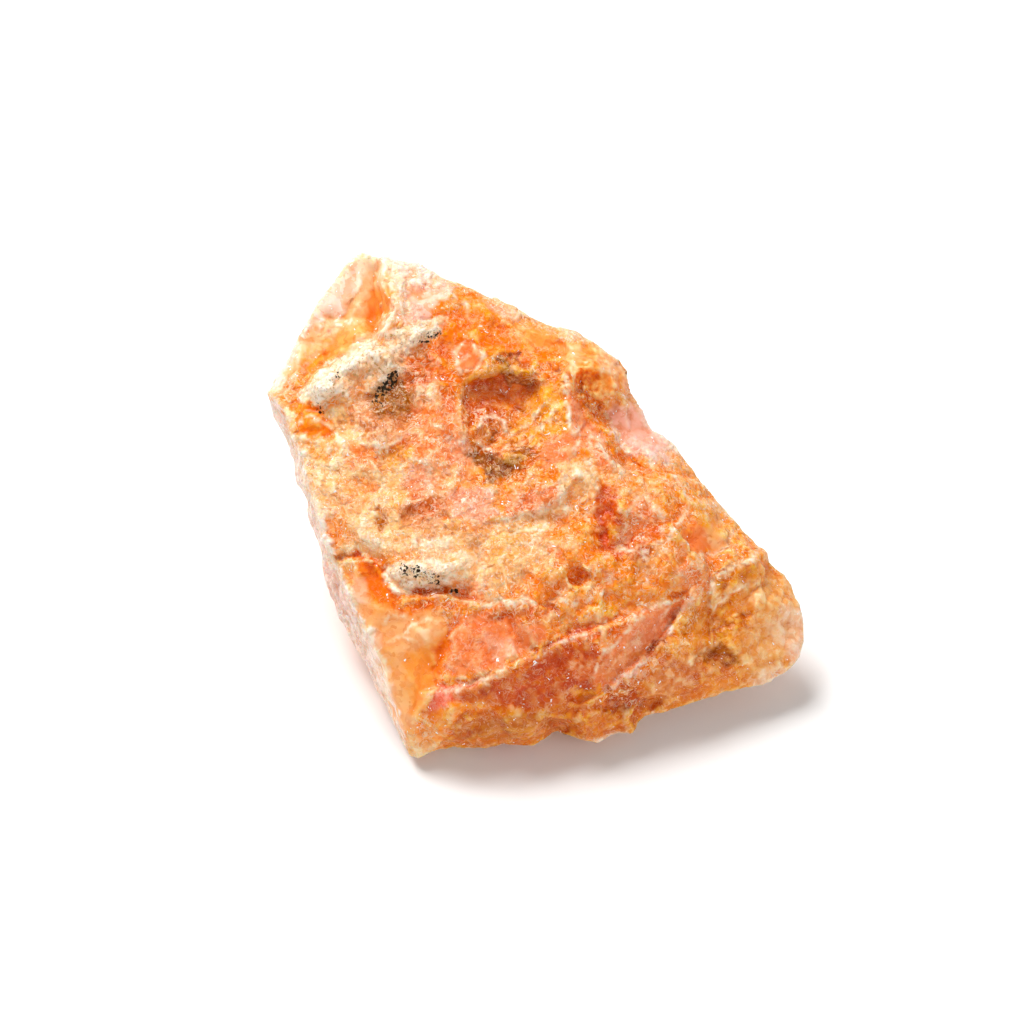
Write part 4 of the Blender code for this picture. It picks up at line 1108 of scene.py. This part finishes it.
@dataclass
class OpalStone:
    """The stone itself: one piece that stands for the solid of the same name.

    Lengths are in millimetres, but the tip's place and reach and the ledges' edge are in pixels.
    """

    node: str = "opal_stone"
    front_edge: float = 0.25
    back_edge: float = 0.5
    edge_rim: tuple[float, float] = (-0.25, 0.05)
    most_splits: int = 8
    weld: float = 0.001
    foot_height: float = 0.06
    foot_fade: float = 0.9
    smoothing_steps: int = 3
    thick: float = 1.8
    under_skin: float = 0.02
    tip: tuple[float, float] = (367.0, 260.0)
    tip_reach: float = 22.0
    tip_rounds: int = 24
    ledge_edge: float = 1.6
    relief: Relief = Relief()
    hidden_breaks: Waves = Waves(8.0, 1, 301)
    hidden_break_range: tuple[float, float] = (0.0, 0.3)
    hidden_crusts: Waves = Waves(6.0, 1, 302)
    hidden_crust_range: tuple[float, float] = (0.38, 0.5)
    crust_edge: Waves = Waves(0.8, 2, 303)
    crust_raggedness: float = 0.7
    crust_range: tuple[float, float] = (0.35, 0.62)
    glassy_gloss: float = 0.6
    masks: Masks | None = field(default=None, init=False)
    piece: bpy.types.Object | None = field(default=None, init=False)

    def build(self, frame: dict) -> None:
        """Copies the solid, divides its skin and models the small forms into it.
        """
        solid = frame["nodes"][self.node]
        deselect_all()
        self.piece = bpy.data.objects.new("opal_skin", solid.data.copy())
        bpy.context.scene.collection.objects.link(self.piece)
        self.piece.data.materials.clear()
        bpy.context.view_layer.objects.active = self.piece
        self.piece.select_set(True)
        self.scale(1 / MILLIMETRE)
        bpy.ops.object.mode_set(mode="EDIT")
        bpy.ops.mesh.select_all(action="SELECT")
        bpy.ops.mesh.remove_doubles(threshold=self.weld)
        bpy.ops.object.mode_set(mode="OBJECT")
        self.divide()
        self.soften()
        self.sculpt()

    def scale(self, factor: float) -> None:
        """Multiplies every place of the mesh."""
        self.write(self.read("co") * factor)

    def read(self, what: str) -> np.ndarray:
        """The mesh's places ("co") or normals ("normal"), one row each."""
        mesh = self.piece.data
        rows = np.empty(len(mesh.vertices) * 3, np.float32)
        if what == "co":
            mesh.vertices.foreach_get("co", rows)
        else:
            mesh.vertex_normals.foreach_get("vector", rows)
        return rows.reshape(-1, 3).astype(float)

    def write(self, points: np.ndarray) -> None:
        """Moves the mesh's points to the rows' places."""
        self.piece.data.vertices.foreach_set("co", points.astype(np.float32).ravel())
        self.piece.data.update()

    def divide(self) -> None:
        """Splits edges until the skin is fine enough, finer where it faces the eye."""
        mesh = self.piece.data
        for _ in range(self.most_splits):
            points, normals = self.read("co"), self.read("normal")
            ends = np.empty(len(mesh.edges) * 2, np.int32)
            mesh.edges.foreach_get("vertices", ends)
            ends = ends.reshape(-1, 2)
            length = np.linalg.norm(points[ends[:, 0]] - points[ends[:, 1]], axis=1)
            front = eased(normals[ends].mean(axis=1) @ VIEW.sight, *self.edge_rim)
            long_ones = length > self.back_edge + (self.front_edge - self.back_edge) * front
            if not long_ones.any():
                break
            mesh.vertices.foreach_set("select", np.zeros(len(mesh.vertices), bool))
            mesh.polygons.foreach_set("select", np.zeros(len(mesh.polygons), bool))
            mesh.edges.foreach_set("select", long_ones)
            bpy.ops.object.mode_set(mode="EDIT")
            bpy.ops.mesh.select_mode(type="EDGE")
            bpy.ops.mesh.subdivide(number_cuts=1)
            bpy.ops.mesh.select_all(action="SELECT")
            bpy.ops.mesh.quads_convert_to_tris(quad_method="SHORTEST_DIAGONAL",
                                               ngon_method="BEAUTY")
            bpy.ops.object.mode_set(mode="OBJECT")
        LOG.info("skin: %d triangles", len(mesh.polygons))

    def soften(self) -> None:
        """Takes the solid's facets off the fine skin, and rounds the thin tip at the rear."""
        modifier = self.piece.modifiers.new("soften", "SMOOTH")
        modifier.factor = 0.5
        modifier.iterations = self.smoothing_steps
        bpy.ops.object.modifier_apply(modifier=modifier.name)
        points = self.read("co")
        away = np.linalg.norm(VIEW.pixels(points) - self.tip, axis=1)
        share = np.exp(-((away / self.tip_reach) ** 2))
        relaxed = Relaxer(self.piece.data).relax(points, self.tip_rounds)
        shift = (relaxed - points) @ VIEW.sight
        self.write(points + (share * shift)[:, None] * VIEW.sight)

    def sculpt(self) -> None:
        """Models the small forms into the skin, and keeps it on its foot and in the solid's box."""
        points = self.read("co")
        low, high = points.min(axis=0), points.max(axis=0)
        place = Field(points, self.read("normal"))
        smooth = self.mask(place, SMOOTH_BREAKS, self.hidden_breaks, self.hidden_break_range)
        crust = self.mask(place, CRUSTS, self.hidden_crusts, self.hidden_crust_range)
        edge = self.crust_raggedness * self.crust_edge.at(points) * np.sqrt(crust)
        crust = eased(crust + edge, *self.crust_range)
        height = self.relief.height(points, smooth, crust, place.cover(LUMPY))
        room = self.room(points, place.normals)
        steady = eased(points[:, 2], 0.0, self.foot_fade) * room
        moved = points + (height * steady)[:, None] * place.normals
        raised = self.stroke_heights(place) * steady * place.front
        moved += raised[:, None] * VIEW.sight
        on_foot = points[:, 2] < self.foot_height
        moved[on_foot] = points[on_foot]
        self.write(np.clip(moved, low, high))
        gloss = np.maximum(smooth, self.glassy_gloss * place.cover(GLASSY) * (1 - crust))
        self.masks = Masks(smooth, crust, gloss, 1 - room)

    def mask(self, place: Field, areas: tuple[Area, ...], hidden: Waves,
             span: tuple[float, float]) -> np.ndarray:
        """Marks a kind of skin: in the areas of the front, and where noise is high behind it.

        Args:
            place: What is known of each point.
            areas: The places on the front.
            hidden: The noise of the sides that the picture doesn't show.
            span: The noise values where the mark starts and is full.

        Returns:
            The mark at each point, from 0 to 1.
        """
        behind = (1 - place.front) * eased(hidden.at(place.points), *span)
        return np.clip(place.cover(areas) + behind, 0, 1)

    def room(self, points: np.ndarray, normals: np.ndarray) -> np.ndarray:
        """Measures how much of the relief the stone's thickness allows: little on its thin rims.

        Args:
            points: The places of the skin.
            normals: Where each of them faces.

        Returns:
            The share at each point, up to 1.
        """
        thickness = np.full(len(points), self.thick)
        for number, (point, normal) in enumerate(zip(points, normals)):
            start = Vector(point - self.under_skin * normal)
            found, place, _, _ = self.piece.ray_cast(start, Vector(-normal), distance=self.thick)
            if found:
                thickness[number] = (place - start).length
        return np.minimum(1.0, thickness / self.thick)

    def stroke_heights(self, place: Field) -> np.ndarray:
        """Adds up the front strokes.

        Args:
            place: What is known of each point.

        Returns:
            How far they raise each point along the sight, in millimetres.
        """
        total = np.zeros(len(place.points))
        for stroke in FRONT_STROKES:
            distance, side = line_distance(place.warped, corners(stroke.line))
            if stroke.form is Form.LEDGE:
                drop = 0.5 + 0.5 * np.tanh(side * distance / self.ledge_edge)
                total -= stroke.height * drop * np.exp(-distance / stroke.width)
                continue
            bell = stroke.height * np.exp(-((distance / stroke.width) ** 2))
            total += bell if stroke.form in (Form.RIDGE, Form.LUMP) else -bell
        return total

    def dress(self, pigment: "Pigment", finish: "OpalFinish") -> None:
        """Paints the skin and brings it to metres, gives it its finish, and hands it over.

        Args:
            pigment: The colours of its points.
            finish: The material.
        """
        place = Field(self.read("co"), self.read("normal"))
        tint = pigment.colours(place, self.masks, Relaxer(self.piece.data))
        self.store("tint", np.hstack([tint, np.ones((len(tint), 1))]), "FLOAT_COLOR")
        self.store("soot", pigment.soot(place))
        self.store("chalk", self.masks.crust)
        self.store("gloss", self.masks.gloss)
        self.store("thin", self.masks.thin)
        self.scale(MILLIMETRE)
        self.piece.data.materials.append(finish.material())
        bpy.ops.object.shade_smooth()
        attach(self.piece, "root")
        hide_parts(self.node)
        LOG.info("%s: %d triangles", self.piece.name, len(self.piece.data.polygons))

    def store(self, name: str, values: np.ndarray, kind: str = "FLOAT") -> None:
        """Keeps one value or colour for each point, for the material to read."""
        attribute = self.piece.data.attributes.new(name, kind, "POINT")
        slot = "color" if kind == "FLOAT_COLOR" else "value"
        attribute.data.foreach_set(slot, values.astype(np.float32).ravel())


@dataclass(frozen=True)
class Pigment:
    """The colours of the stone's points. Lengths are in millimetres, and widths in pixels."""

    fine_rounds: int = 4
    fine_crest: float = 0.035
    broad_rounds: int = 24
    broad_crest: float = 0.10
    # how far crests are paled as a painted highlight, and recesses darkened as painted shade
    crest_start: float = 0.1
    crest_highlight: float = 0.50
    recess_shade: tuple[float, float, float] = (0.08, 0.30, 0.55)
    iron: tuple[float, float, float] = (0.0, 0.014, 0.016)
    blotch: Waves = Waves(1.5, 3, 71)
    freckle: Waves = Waves(0.8, 3, 75)
    dryness: Waves = Waves(0.7, 3, 77)
    vein_gaps: Waves = Waves(0.6, 2, 79)
    vein_gap_range: tuple[float, float] = (-0.35, 0.15)
    vein_soft: float = 4.0
    vein_raggedness: float = 0.4
    rust_width: float = 4.0
    rust_soft: float = 5.0
    line_strength: float = 0.85
    hidden_cells: tuple[tuple[float, int, float], ...] = ((6.0, 81, 0.6), (2.4, 83, 0.4))
    hidden_crust: float = 0.9

    def colours(self, place: Field, masks: Masks, relaxer: Relaxer) -> np.ndarray:
        """Colours the points: the front from the patches, with a painted highlight on the crests
        and painted shade in the recesses.

        Args:
            place: What is known of each point.
            masks: The kinds of skin.
            relaxer: Averages over the skin's neighbouring points.

        Returns:
            Rows of linear red, green and blue.
        """
        nearby = relaxer.relax(place.points, self.fine_rounds)
        around = relaxer.relax(nearby, self.broad_rounds)
        crest = sum(
            0.5 * np.clip(np.sum(step * place.normals, axis=1) / full, -1, 1)
            for step, full in ((place.points - nearby, self.fine_crest),
                               (nearby - around, self.broad_crest))
        )
        hidden = self.hidden_colours(place.points, masks)
        tint = mixed(hidden, self.front_colours(place, masks), place.round_rim)
        # painted highlight: crests are paled; painted shade: recesses are darkened, but not on the
        # crusts
        crest_light = np.clip(crest - self.crest_start, 0, 1) / (1 - self.crest_start)
        recess_shade_share = np.clip(-crest, 0, 1) * (1 - masks.crust)
        tint = tint ** (1 - self.crest_highlight * crest_light[:, None])
        tint = tint * (1 - recess_shade_share[:, None] * self.recess_shade)
        return np.maximum(tint - self.iron, 0.0)

    def soot(self, place: Field) -> np.ndarray:
        """How dense the manganese specks are at each point."""
        return np.max([spot.cover(place.warped) for spot in SOOT_SPOTS], axis=0) * place.front

    def front_colours(self, place: Field, masks: Masks) -> np.ndarray:
        """Colours the side that faces the eye, from the patches.

        Args:
            place: What is known of each point.
            masks: The kinds of skin.

        Returns:
            Rows of linear red, green and blue.
        """
        tint = np.tile(Tint.ORANGE.rgb, (len(place.points), 1))
        blotch, freckle, dryness = (waves.at(place.points)
                                    for waves in (self.blotch, self.freckle, self.dryness))
        for fleck in BLOTCHES:
            tint = fleck.over(tint, blotch)
        for patch in FRONT_PATCHES:
            tint = mixed(tint, patch.tint.rgb, patch.cover(place.warped))
        for spot in RUST_SPOTS:
            rust = Area(self.rust_soft, spot, self.rust_width).cover(place.pixels)
            tint = mixed(tint, Tint.RUST.rgb, self.line_strength * rust)
        tint = mixed(tint, Tint.CREAM.rgb, self.line_strength * self.veins(place))
        tint = CREAM_FLECK.over(tint, freckle, 1 - masks.smooth)
        tint = SALMON_FLECK.over(tint, freckle, 1 - masks.crust)
        for fleck in CRUST_FLECKS:
            tint = fleck.over(tint, dryness, masks.crust)
        return tint

    def veins(self, place: Field) -> np.ndarray:
        """How much pale vein lies on each point."""
        pixels = place.pixels + self.vein_raggedness * place.ragged
        along = tuple(Vein(s.vein, s.line) for s in FRONT_STROKES if s.vein)
        covers = [Area(self.vein_soft, line, width).cover(pixels) for width, line in VEINS + along]
        return np.max(covers, axis=0) * eased(self.vein_gaps.at(place.points), *self.vein_gap_range)

    def hidden_colours(self, points: np.ndarray, masks: Masks) -> np.ndarray:
        """Colours the sides that the picture doesn't show, in the same tints.

        Args:
            points: The places of the skin.
            masks: The kinds of skin.

        Returns:
            Rows of linear red, green and blue.
        """
        table = np.array([tint.rgb for tint in HIDDEN_TINTS])
        colours = np.zeros((len(points), 3))
        for size, seed, share in self.hidden_cells:
            pattern = CellPattern(size, seed, size * 0.6, size * 0.45, seed + 5)
            choice = (pattern.at(points).numbers[:, 0] * len(table)).astype(int) % len(table)
            colours += share * table[choice]
        return mixed(colours, Tint.CREAM.rgb, self.hidden_crust * masks.crust)


def add(tree: Tree, kind: str, inputs: dict | None = None, out: int | str = 0,
        **settings: object) -> Socket:
    """Adds a node.

    Args:
        tree: The node tree.
        kind: The node's type without "ShaderNode", such as "Mix".
        inputs: Constants or sockets for its inputs, by name or number.
        out: The output that is wanted, by name or number.
        settings: The node's own properties.

    Returns:
        That output.
    """
    node = tree.nodes.new("ShaderNode" + kind)
    for name, value in settings.items():
        setattr(node, name, value)
    for name, value in (inputs or {}).items():
        if isinstance(value, Socket):
            tree.links.new(value, node.inputs[name])
        else:
            node.inputs[name].default_value = value
    return node.outputs[out]


class Sockets(NamedTuple):
    """What the parts of the material share: the place in millimetres and the skin's own values."""

    place: Socket
    bent: Socket
    tint: Socket
    soot: Socket
    chalk: Socket
    gloss: Socket
    thin: Socket
    rugged: Socket


class Flakes(NamedTuple):
    """One size of flakes: their random numbers, their distances and their height."""

    numbers: bpy.types.Node
    distance: Socket
    height: Socket


@dataclass(frozen=True)
class OpalFinish:
    """Rough common opal, pink and orange: broken, unpolished, waxy to glassy, a little translucent.

    Light sinks about a millimetre into it, so recesses glow orange and thin edges turn pale. Clean
    breaks are glossy, the broken skin is a mass of tiny shell-shaped flakes whose pale edges are
    partly the stone's own and partly painted highlights, with painted glints in points, and the
    crusts are dry chalk with pores and black manganese specks. The index of refraction is common
    opal's, and the broken skin reflects less than a polished one. Sizes are in millimetres.
    """

    flake: float = 0.62
    flake_steepness: float = 0.52
    grain: float = 0.27
    grain_steepness: float = 0.46
    bend: float = 0.5
    bend_reach: float = 1.1
    smooth_share: float = 0.10
    patch: float = 1.7
    edge_highlight: float = 0.095
    thread: float = 0.9
    thread_width: tuple[float, float] = (0.003, 0.021)
    wisp: float = 1.8
    wisp_width: tuple[float, float] = (0.001, 0.012)
    speck: float = 0.24
    glint_choice: float = 0.968
    glint_radius: float = 0.30
    deep: Colour = (0.86, 0.64, 0.45, 1.0)
    milk: str = "#FFE9D4"
    pore: str = "#D2A468"
    pore_depth: float = 0.05
    waxy: float = 0.26
    glassier: float = -0.08
    drier: float = 0.40
    refraction: float = 1.45
    reflection: float = 0.20
    glow: float = 0.40
    chalk_glow: float = -0.14
    thin_glow: float = 0.5
    depth: float = 1.0
    depth_of_light: tuple[float, float, float] = (1.0, 0.5, 0.22)

    def material(self) -> bpy.types.Material:
        """Makes the material."""
        material = bpy.data.materials.new("rough_pink_opal")
        material.use_nodes = True
        tree = material.node_tree
        shader = tree.nodes["Principled BSDF"]
        sockets = self.sockets(tree)
        large = self.flakes(tree, sockets, self.flake, self.flake_steepness)
        small = self.flakes(tree, sockets, self.grain, self.grain_steepness)
        mottle = add(tree, "TexNoise", {"Vector": sockets.place, "Scale": 1 / self.speck,
                                        "Detail": 2.0, "Roughness": 0.6})
        pores = add(tree, "MapRange", {"Value": mottle, "From Min": 0.42, "From Max": 0.33})
        pores = add(tree, "Math", {0: pores, 1: sockets.chalk}, operation="MULTIPLY")
        glint = self.glints(tree, sockets, small)
        colour = self.colour(tree, sockets, (large, small), (mottle, pores, glint))
        tree.links.new(colour, shader.inputs["Base Color"])

        roughness = add(tree, "Math", {0: sockets.gloss, 1: self.glassier, 2: self.waxy},
                        operation="MULTIPLY_ADD")
        for share, change in ((sockets.chalk, self.drier), (glint, -0.2)):
            roughness = add(tree, "Math", {0: share, 1: change, 2: roughness},
                            operation="MULTIPLY_ADD")
        tree.links.new(roughness, shader.inputs["Roughness"])
        shader.inputs["IOR"].default_value = self.refraction
        shader.inputs["Specular IOR Level"].default_value = self.reflection
        glow = add(tree, "Math", {0: sockets.chalk, 1: self.chalk_glow, 2: self.glow},
                   operation="MULTIPLY_ADD")
        glow = add(tree, "Math", {0: sockets.thin, 1: self.thin_glow, 2: glow},
                   operation="MULTIPLY_ADD")
        tree.links.new(glow, shader.inputs["Subsurface Weight"])
        shader.inputs["Subsurface Radius"].default_value = self.depth_of_light
        shader.inputs["Subsurface Scale"].default_value = self.depth * MILLIMETRE

        height = add(tree, "Math", {0: large.height, 1: small.height}, operation="ADD")
        height = add(tree, "Math", {0: height, 1: sockets.rugged}, operation="MULTIPLY")
        height = add(tree, "Math", {0: pores, 1: -self.pore_depth, 2: height},
                     operation="MULTIPLY_ADD")
        bump = add(tree, "Bump", {"Height": height, "Strength": 1.0, "Distance": MILLIMETRE})
        tree.links.new(bump, shader.inputs["Normal"])
        return material

    def sockets(self, tree: Tree) -> Sockets:
        """Reads the place and the skin's own values."""
        metres = add(tree, "TexCoord", out="Object")
        place = add(tree, "VectorMath", {0: metres, "Scale": 1 / MILLIMETRE}, operation="SCALE")
        tint = add(tree, "Attribute", out="Color", attribute_name="tint")
        soot, chalk, gloss, thin = (add(tree, "Attribute", out="Fac", attribute_name=name)
                                    for name in ("soot", "chalk", "gloss", "thin"))
        rugged = add(tree, "MapRange", {"Value": gloss, "To Min": 1.0,
                                        "To Max": self.smooth_share})
        wave = add(tree, "TexNoise", {"Vector": place, "Scale": 1 / self.bend, "Detail": 1.0},
                   out="Color")
        bent = add(tree, "VectorMath", {0: wave, 1: (self.bend_reach,) * 3, 2: place},
                   operation="MULTIPLY_ADD")
        return Sockets(place, bent, tint, soot, chalk, gloss, thin, rugged)

    def flakes(self, tree: Tree, sockets: Sockets, size: float,
               steepness: float) -> Flakes:
        """Makes tiny flakes, each a plane that leans its own way, with bent outlines.

        Args:
            tree: The node tree.
            sockets: The place and the skin's own values.
            size: How far apart the flakes are.
            steepness: How much their planes lean.

        Returns:
            The flakes.
        """
        flake = add(tree, "TexVoronoi", {"Vector": sockets.bent, "Scale": 1 / size}, out="Color")
        middle = flake.node.outputs["Position"]
        step = add(tree, "VectorMath", {0: sockets.bent, 1: middle}, operation="SUBTRACT")
        lean = add(tree, "VectorMath", {0: flake, 1: (0.5, 0.5, 0.5)}, operation="SUBTRACT")
        height = add(tree, "VectorMath", {0: step, 1: lean}, "Value", operation="DOT_PRODUCT")
        height = add(tree, "Math", {0: height, 1: steepness}, operation="MULTIPLY")
        numbers = add(tree, "SeparateColor", {0: flake}).node
        return Flakes(numbers, flake.node.outputs["Distance"], height)

    def pale_lines_and_highlights(self, tree: Tree, sockets: Sockets) -> Socket:
        """Draws pale edges of flakes in places, fracture threads elsewhere and wisps all over.

        The edges of the flakes are painted highlights; the threads and wisps are partly the stone's
        own pale lines and partly painted highlights.

        Args:
            tree: The node tree.
            sockets: The place and the skin's own values.

        Returns:
            How strong the lines are.
        """
        patchy = add(tree, "TexNoise", {"Vector": sockets.place, "Scale": 1 / self.patch,
                                        "Detail": 2.0})
        edge_highlight = add(tree, "TexVoronoi", {"Vector": sockets.bent, "Scale": 1 / self.flake},
                     feature="DISTANCE_TO_EDGE")
        edge_highlight = add(tree, "MapRange", {"Value": edge_highlight, "From Max": self.edge_highlight, "To Min": 0.80,
                                        "To Max": 0.0})
        somewhere = add(tree, "MapRange", {"Value": patchy, "From Min": 0.52, "From Max": 0.66})
        edge_highlight = add(tree, "Math", {0: edge_highlight, 1: somewhere}, operation="MULTIPLY")
        # a thread or a wisp shows where a swirling noise crosses its middle value
        lines = []
        for size, detail, twist, width, strength in (
            (self.thread, 2.0, 0.9, self.thread_width, 0.90),
            (self.wisp, 1.0, 1.4, self.wisp_width, 0.85),
        ):
            line = add(tree, "TexNoise", {"Vector": sockets.bent, "Scale": 1 / size,
                                          "Detail": detail, "Distortion": twist})
            line = add(tree, "Math", {0: line, 1: 0.5}, operation="SUBTRACT")
            line = add(tree, "Math", {0: line}, operation="ABSOLUTE")
            lines.append(add(tree, "MapRange", {"Value": line, "From Min": width[0],
                                                "From Max": width[1], "To Min": strength,
                                                "To Max": 0.0}))
        thread, wisp = lines
        elsewhere = add(tree, "MapRange", {"Value": patchy, "From Min": 0.62, "From Max": 0.42})
        thread = add(tree, "Math", {0: thread, 1: elsewhere}, operation="MULTIPLY")
        thread = add(tree, "Math", {0: thread, 1: wisp}, operation="MAXIMUM")
        lines_and_highlights = add(tree, "Math", {0: thread, 1: edge_highlight}, operation="MAXIMUM")
        return add(tree, "Math", {0: lines_and_highlights, 1: sockets.rugged}, operation="MULTIPLY")

    def glints(self, tree: Tree, sockets: Sockets,
               small: Flakes) -> Socket:
        """Sets painted highlights in the middle of a few small flakes, but not on the crusts.

        Args:
            tree: The node tree.
            sockets: The place and the skin's own values.
            small: The small flakes.

        Returns:
            How strong the points are.
        """
        chosen = add(tree, "Math", {0: small.numbers.outputs[2], 1: self.glint_choice},
                     operation="GREATER_THAN")
        centred = add(tree, "Math", {0: small.distance, 1: self.glint_radius},
                      operation="LESS_THAN")
        stone = add(tree, "Math", {0: 1.0, 1: sockets.chalk}, operation="SUBTRACT")
        glint = add(tree, "Math", {0: chosen, 1: centred}, operation="MULTIPLY")
        return add(tree, "Math", {0: glint, 1: stone}, operation="MULTIPLY")

    def colour(self, tree: Tree, sockets: Sockets, flakes: tuple[Flakes, Flakes],
               spots: tuple[Socket, ...]) -> Socket:
        """Mixes the colour: deeper and paler flakes, then the lines and spots that lie on them.

        Args:
            tree: The node tree.
            sockets: The place and the skin's own values.
            flakes: The large and the small ones.
            spots: The mottle, the pores and the glints.

        Returns:
            The colour.
        """
        large, small = (each.numbers.outputs[0] for each in flakes)
        mottle, pores, glint = spots
        deeper = add(tree, "Mix", {0: 1.0, 6: sockets.tint, 7: self.deep}, 2, data_type="RGBA",
                     blend_type="MULTIPLY")
        paler = add(tree, "Gamma", {"Color": sockets.tint, "Gamma": 0.5})
        paler, bright = (
            add(tree, "Mix", {0: share, 6: paler, 7: linear(self.milk)}, 2, data_type="RGBA")
            for share in (0.25, 0.65)
        )
        deep = add(tree, "MapRange", {"Value": large, "From Min": 0.45, "From Max": 0.9,
                                      "To Max": 0.75})
        pale = add(tree, "MapRange", {"Value": small, "From Min": 0.60, "From Max": 1.0,
                                      "To Max": 0.40})
        pale = add(tree, "Math", {0: pale, 1: sockets.rugged}, operation="MULTIPLY")
        specks = add(tree, "Math", {0: sockets.soot, 1: 0.5, 2: mottle}, operation="MULTIPLY_ADD")
        specks = add(tree, "MapRange", {"Value": specks, "From Min": 0.90, "From Max": 0.95})
        colour = sockets.tint
        for share, paint in (
            (deep, deeper),
            (pale, paler),
            # partly painted highlights: the pale lines on the flakes' edges
            (self.pale_lines_and_highlights(tree, sockets), bright),
            (pores, linear(self.pore)),
            (specks, linear(Tint.SOOT.value)),
            # painted highlight: the glints are painted white
            (glint, (1.0, 1.0, 1.0, 1.0)),
        ):
            colour = add(tree, "Mix", {0: share, 6: colour, 7: paint}, 2, data_type="RGBA")
        return colour


@dataclass(frozen=True)
class Studio:
    """A plain white table, soft studio light from the upper left, and the camera. In metres."""

    floor_side: float = 3.0
    paper: str = "#F7F6F5"
    paper_roughness: float = 0.7
    key_place: tuple[float, float, float] = (-0.15, 0.17, 0.37)
    key_side: float = 0.26
    key_power: float = 2.45
    fill_place: tuple[float, float, float] = (0.30, -0.38, 0.24)
    fill_side: float = 0.4
    fill_power: float = 1.0
    lit_point: tuple[float, float, float] = (0.0, 0.0, 0.01)
    room: Colour = (1.0, 0.99, 0.98, 1.0)
    room_light: float = 0.35
    sensor_mm: float = 36.0
    sight_range: tuple[float, float] = (0.01, 10.0)

    def build(self) -> None:
        """Sets up the table, the lights, the surroundings and the camera."""
        self.floor()
        self.softbox("key", self.key_place, self.key_side, self.key_power)
        self.softbox("fill", self.fill_place, self.fill_side, self.fill_power)
        world = bpy.data.worlds.new("white_room")
        world.use_nodes = True
        background = world.node_tree.nodes["Background"]
        background.inputs["Color"].default_value = self.room
        background.inputs["Strength"].default_value = self.room_light
        scene = bpy.context.scene
        scene.world = world
        scene.view_settings.view_transform = "Standard"
        self.camera()

    def floor(self) -> None:
        """The table."""
        deselect_all()
        bpy.ops.mesh.primitive_plane_add(size=self.floor_side, location=(0, 0, 0))
        floor = bpy.context.object
        floor.name = "table"
        paper = bpy.data.materials.new("white_table")
        paper.use_nodes = True
        shader = paper.node_tree.nodes["Principled BSDF"]
        shader.inputs["Base Color"].default_value = linear(self.paper)
        shader.inputs["Roughness"].default_value = self.paper_roughness
        floor.data.materials.append(paper)

    def softbox(self, name: str, place: tuple[float, float, float], side: float,
                power: float) -> None:
        """A square soft light that points at the stone.

        Args:
            name: What it is called.
            place: Where its middle is.
            side: How wide it is.
            power: Its strength in watts.
        """
        lamp = bpy.data.lights.new(name, "AREA")
        lamp.size = side
        lamp.energy = power
        holder = bpy.data.objects.new(name, lamp)
        bpy.context.scene.collection.objects.link(holder)
        holder.location = place
        to_stone = Vector(self.lit_point) - Vector(place)
        holder.rotation_euler = to_stone.to_track_quat("-Z", "Y").to_euler()

    def camera(self) -> None:
        """The camera at the photograph's angle."""
        lens = bpy.data.cameras.new("camera")
        lens.sensor_width = self.sensor_mm
        lens.lens = self.sensor_mm * VIEW.distance / (VIEW.width_px * VIEW.scale)
        lens.clip_start, lens.clip_end = self.sight_range
        holder = bpy.data.objects.new("camera", lens)
        bpy.context.scene.collection.objects.link(holder)
        sight = Vector(VIEW.sight)
        holder.location = (VIEW.target() + sight * VIEW.distance) * MILLIMETRE
        holder.rotation_euler = (-sight).to_track_quat("-Z", "Y").to_euler()
        bpy.context.scene.camera = holder


def deselect_all() -> None:
    bpy.ops.object.select_all(action="DESELECT")


def main() -> None:
    """Builds the stone and its studio."""
    logging.basicConfig(level=logging.INFO, format="%(message)s")
    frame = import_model()
    stone = OpalStone()
    stone.build(frame)
    stone.dress(Pigment(), OpalFinish())
    Studio().build()


if __name__ == "__main__":
    main()
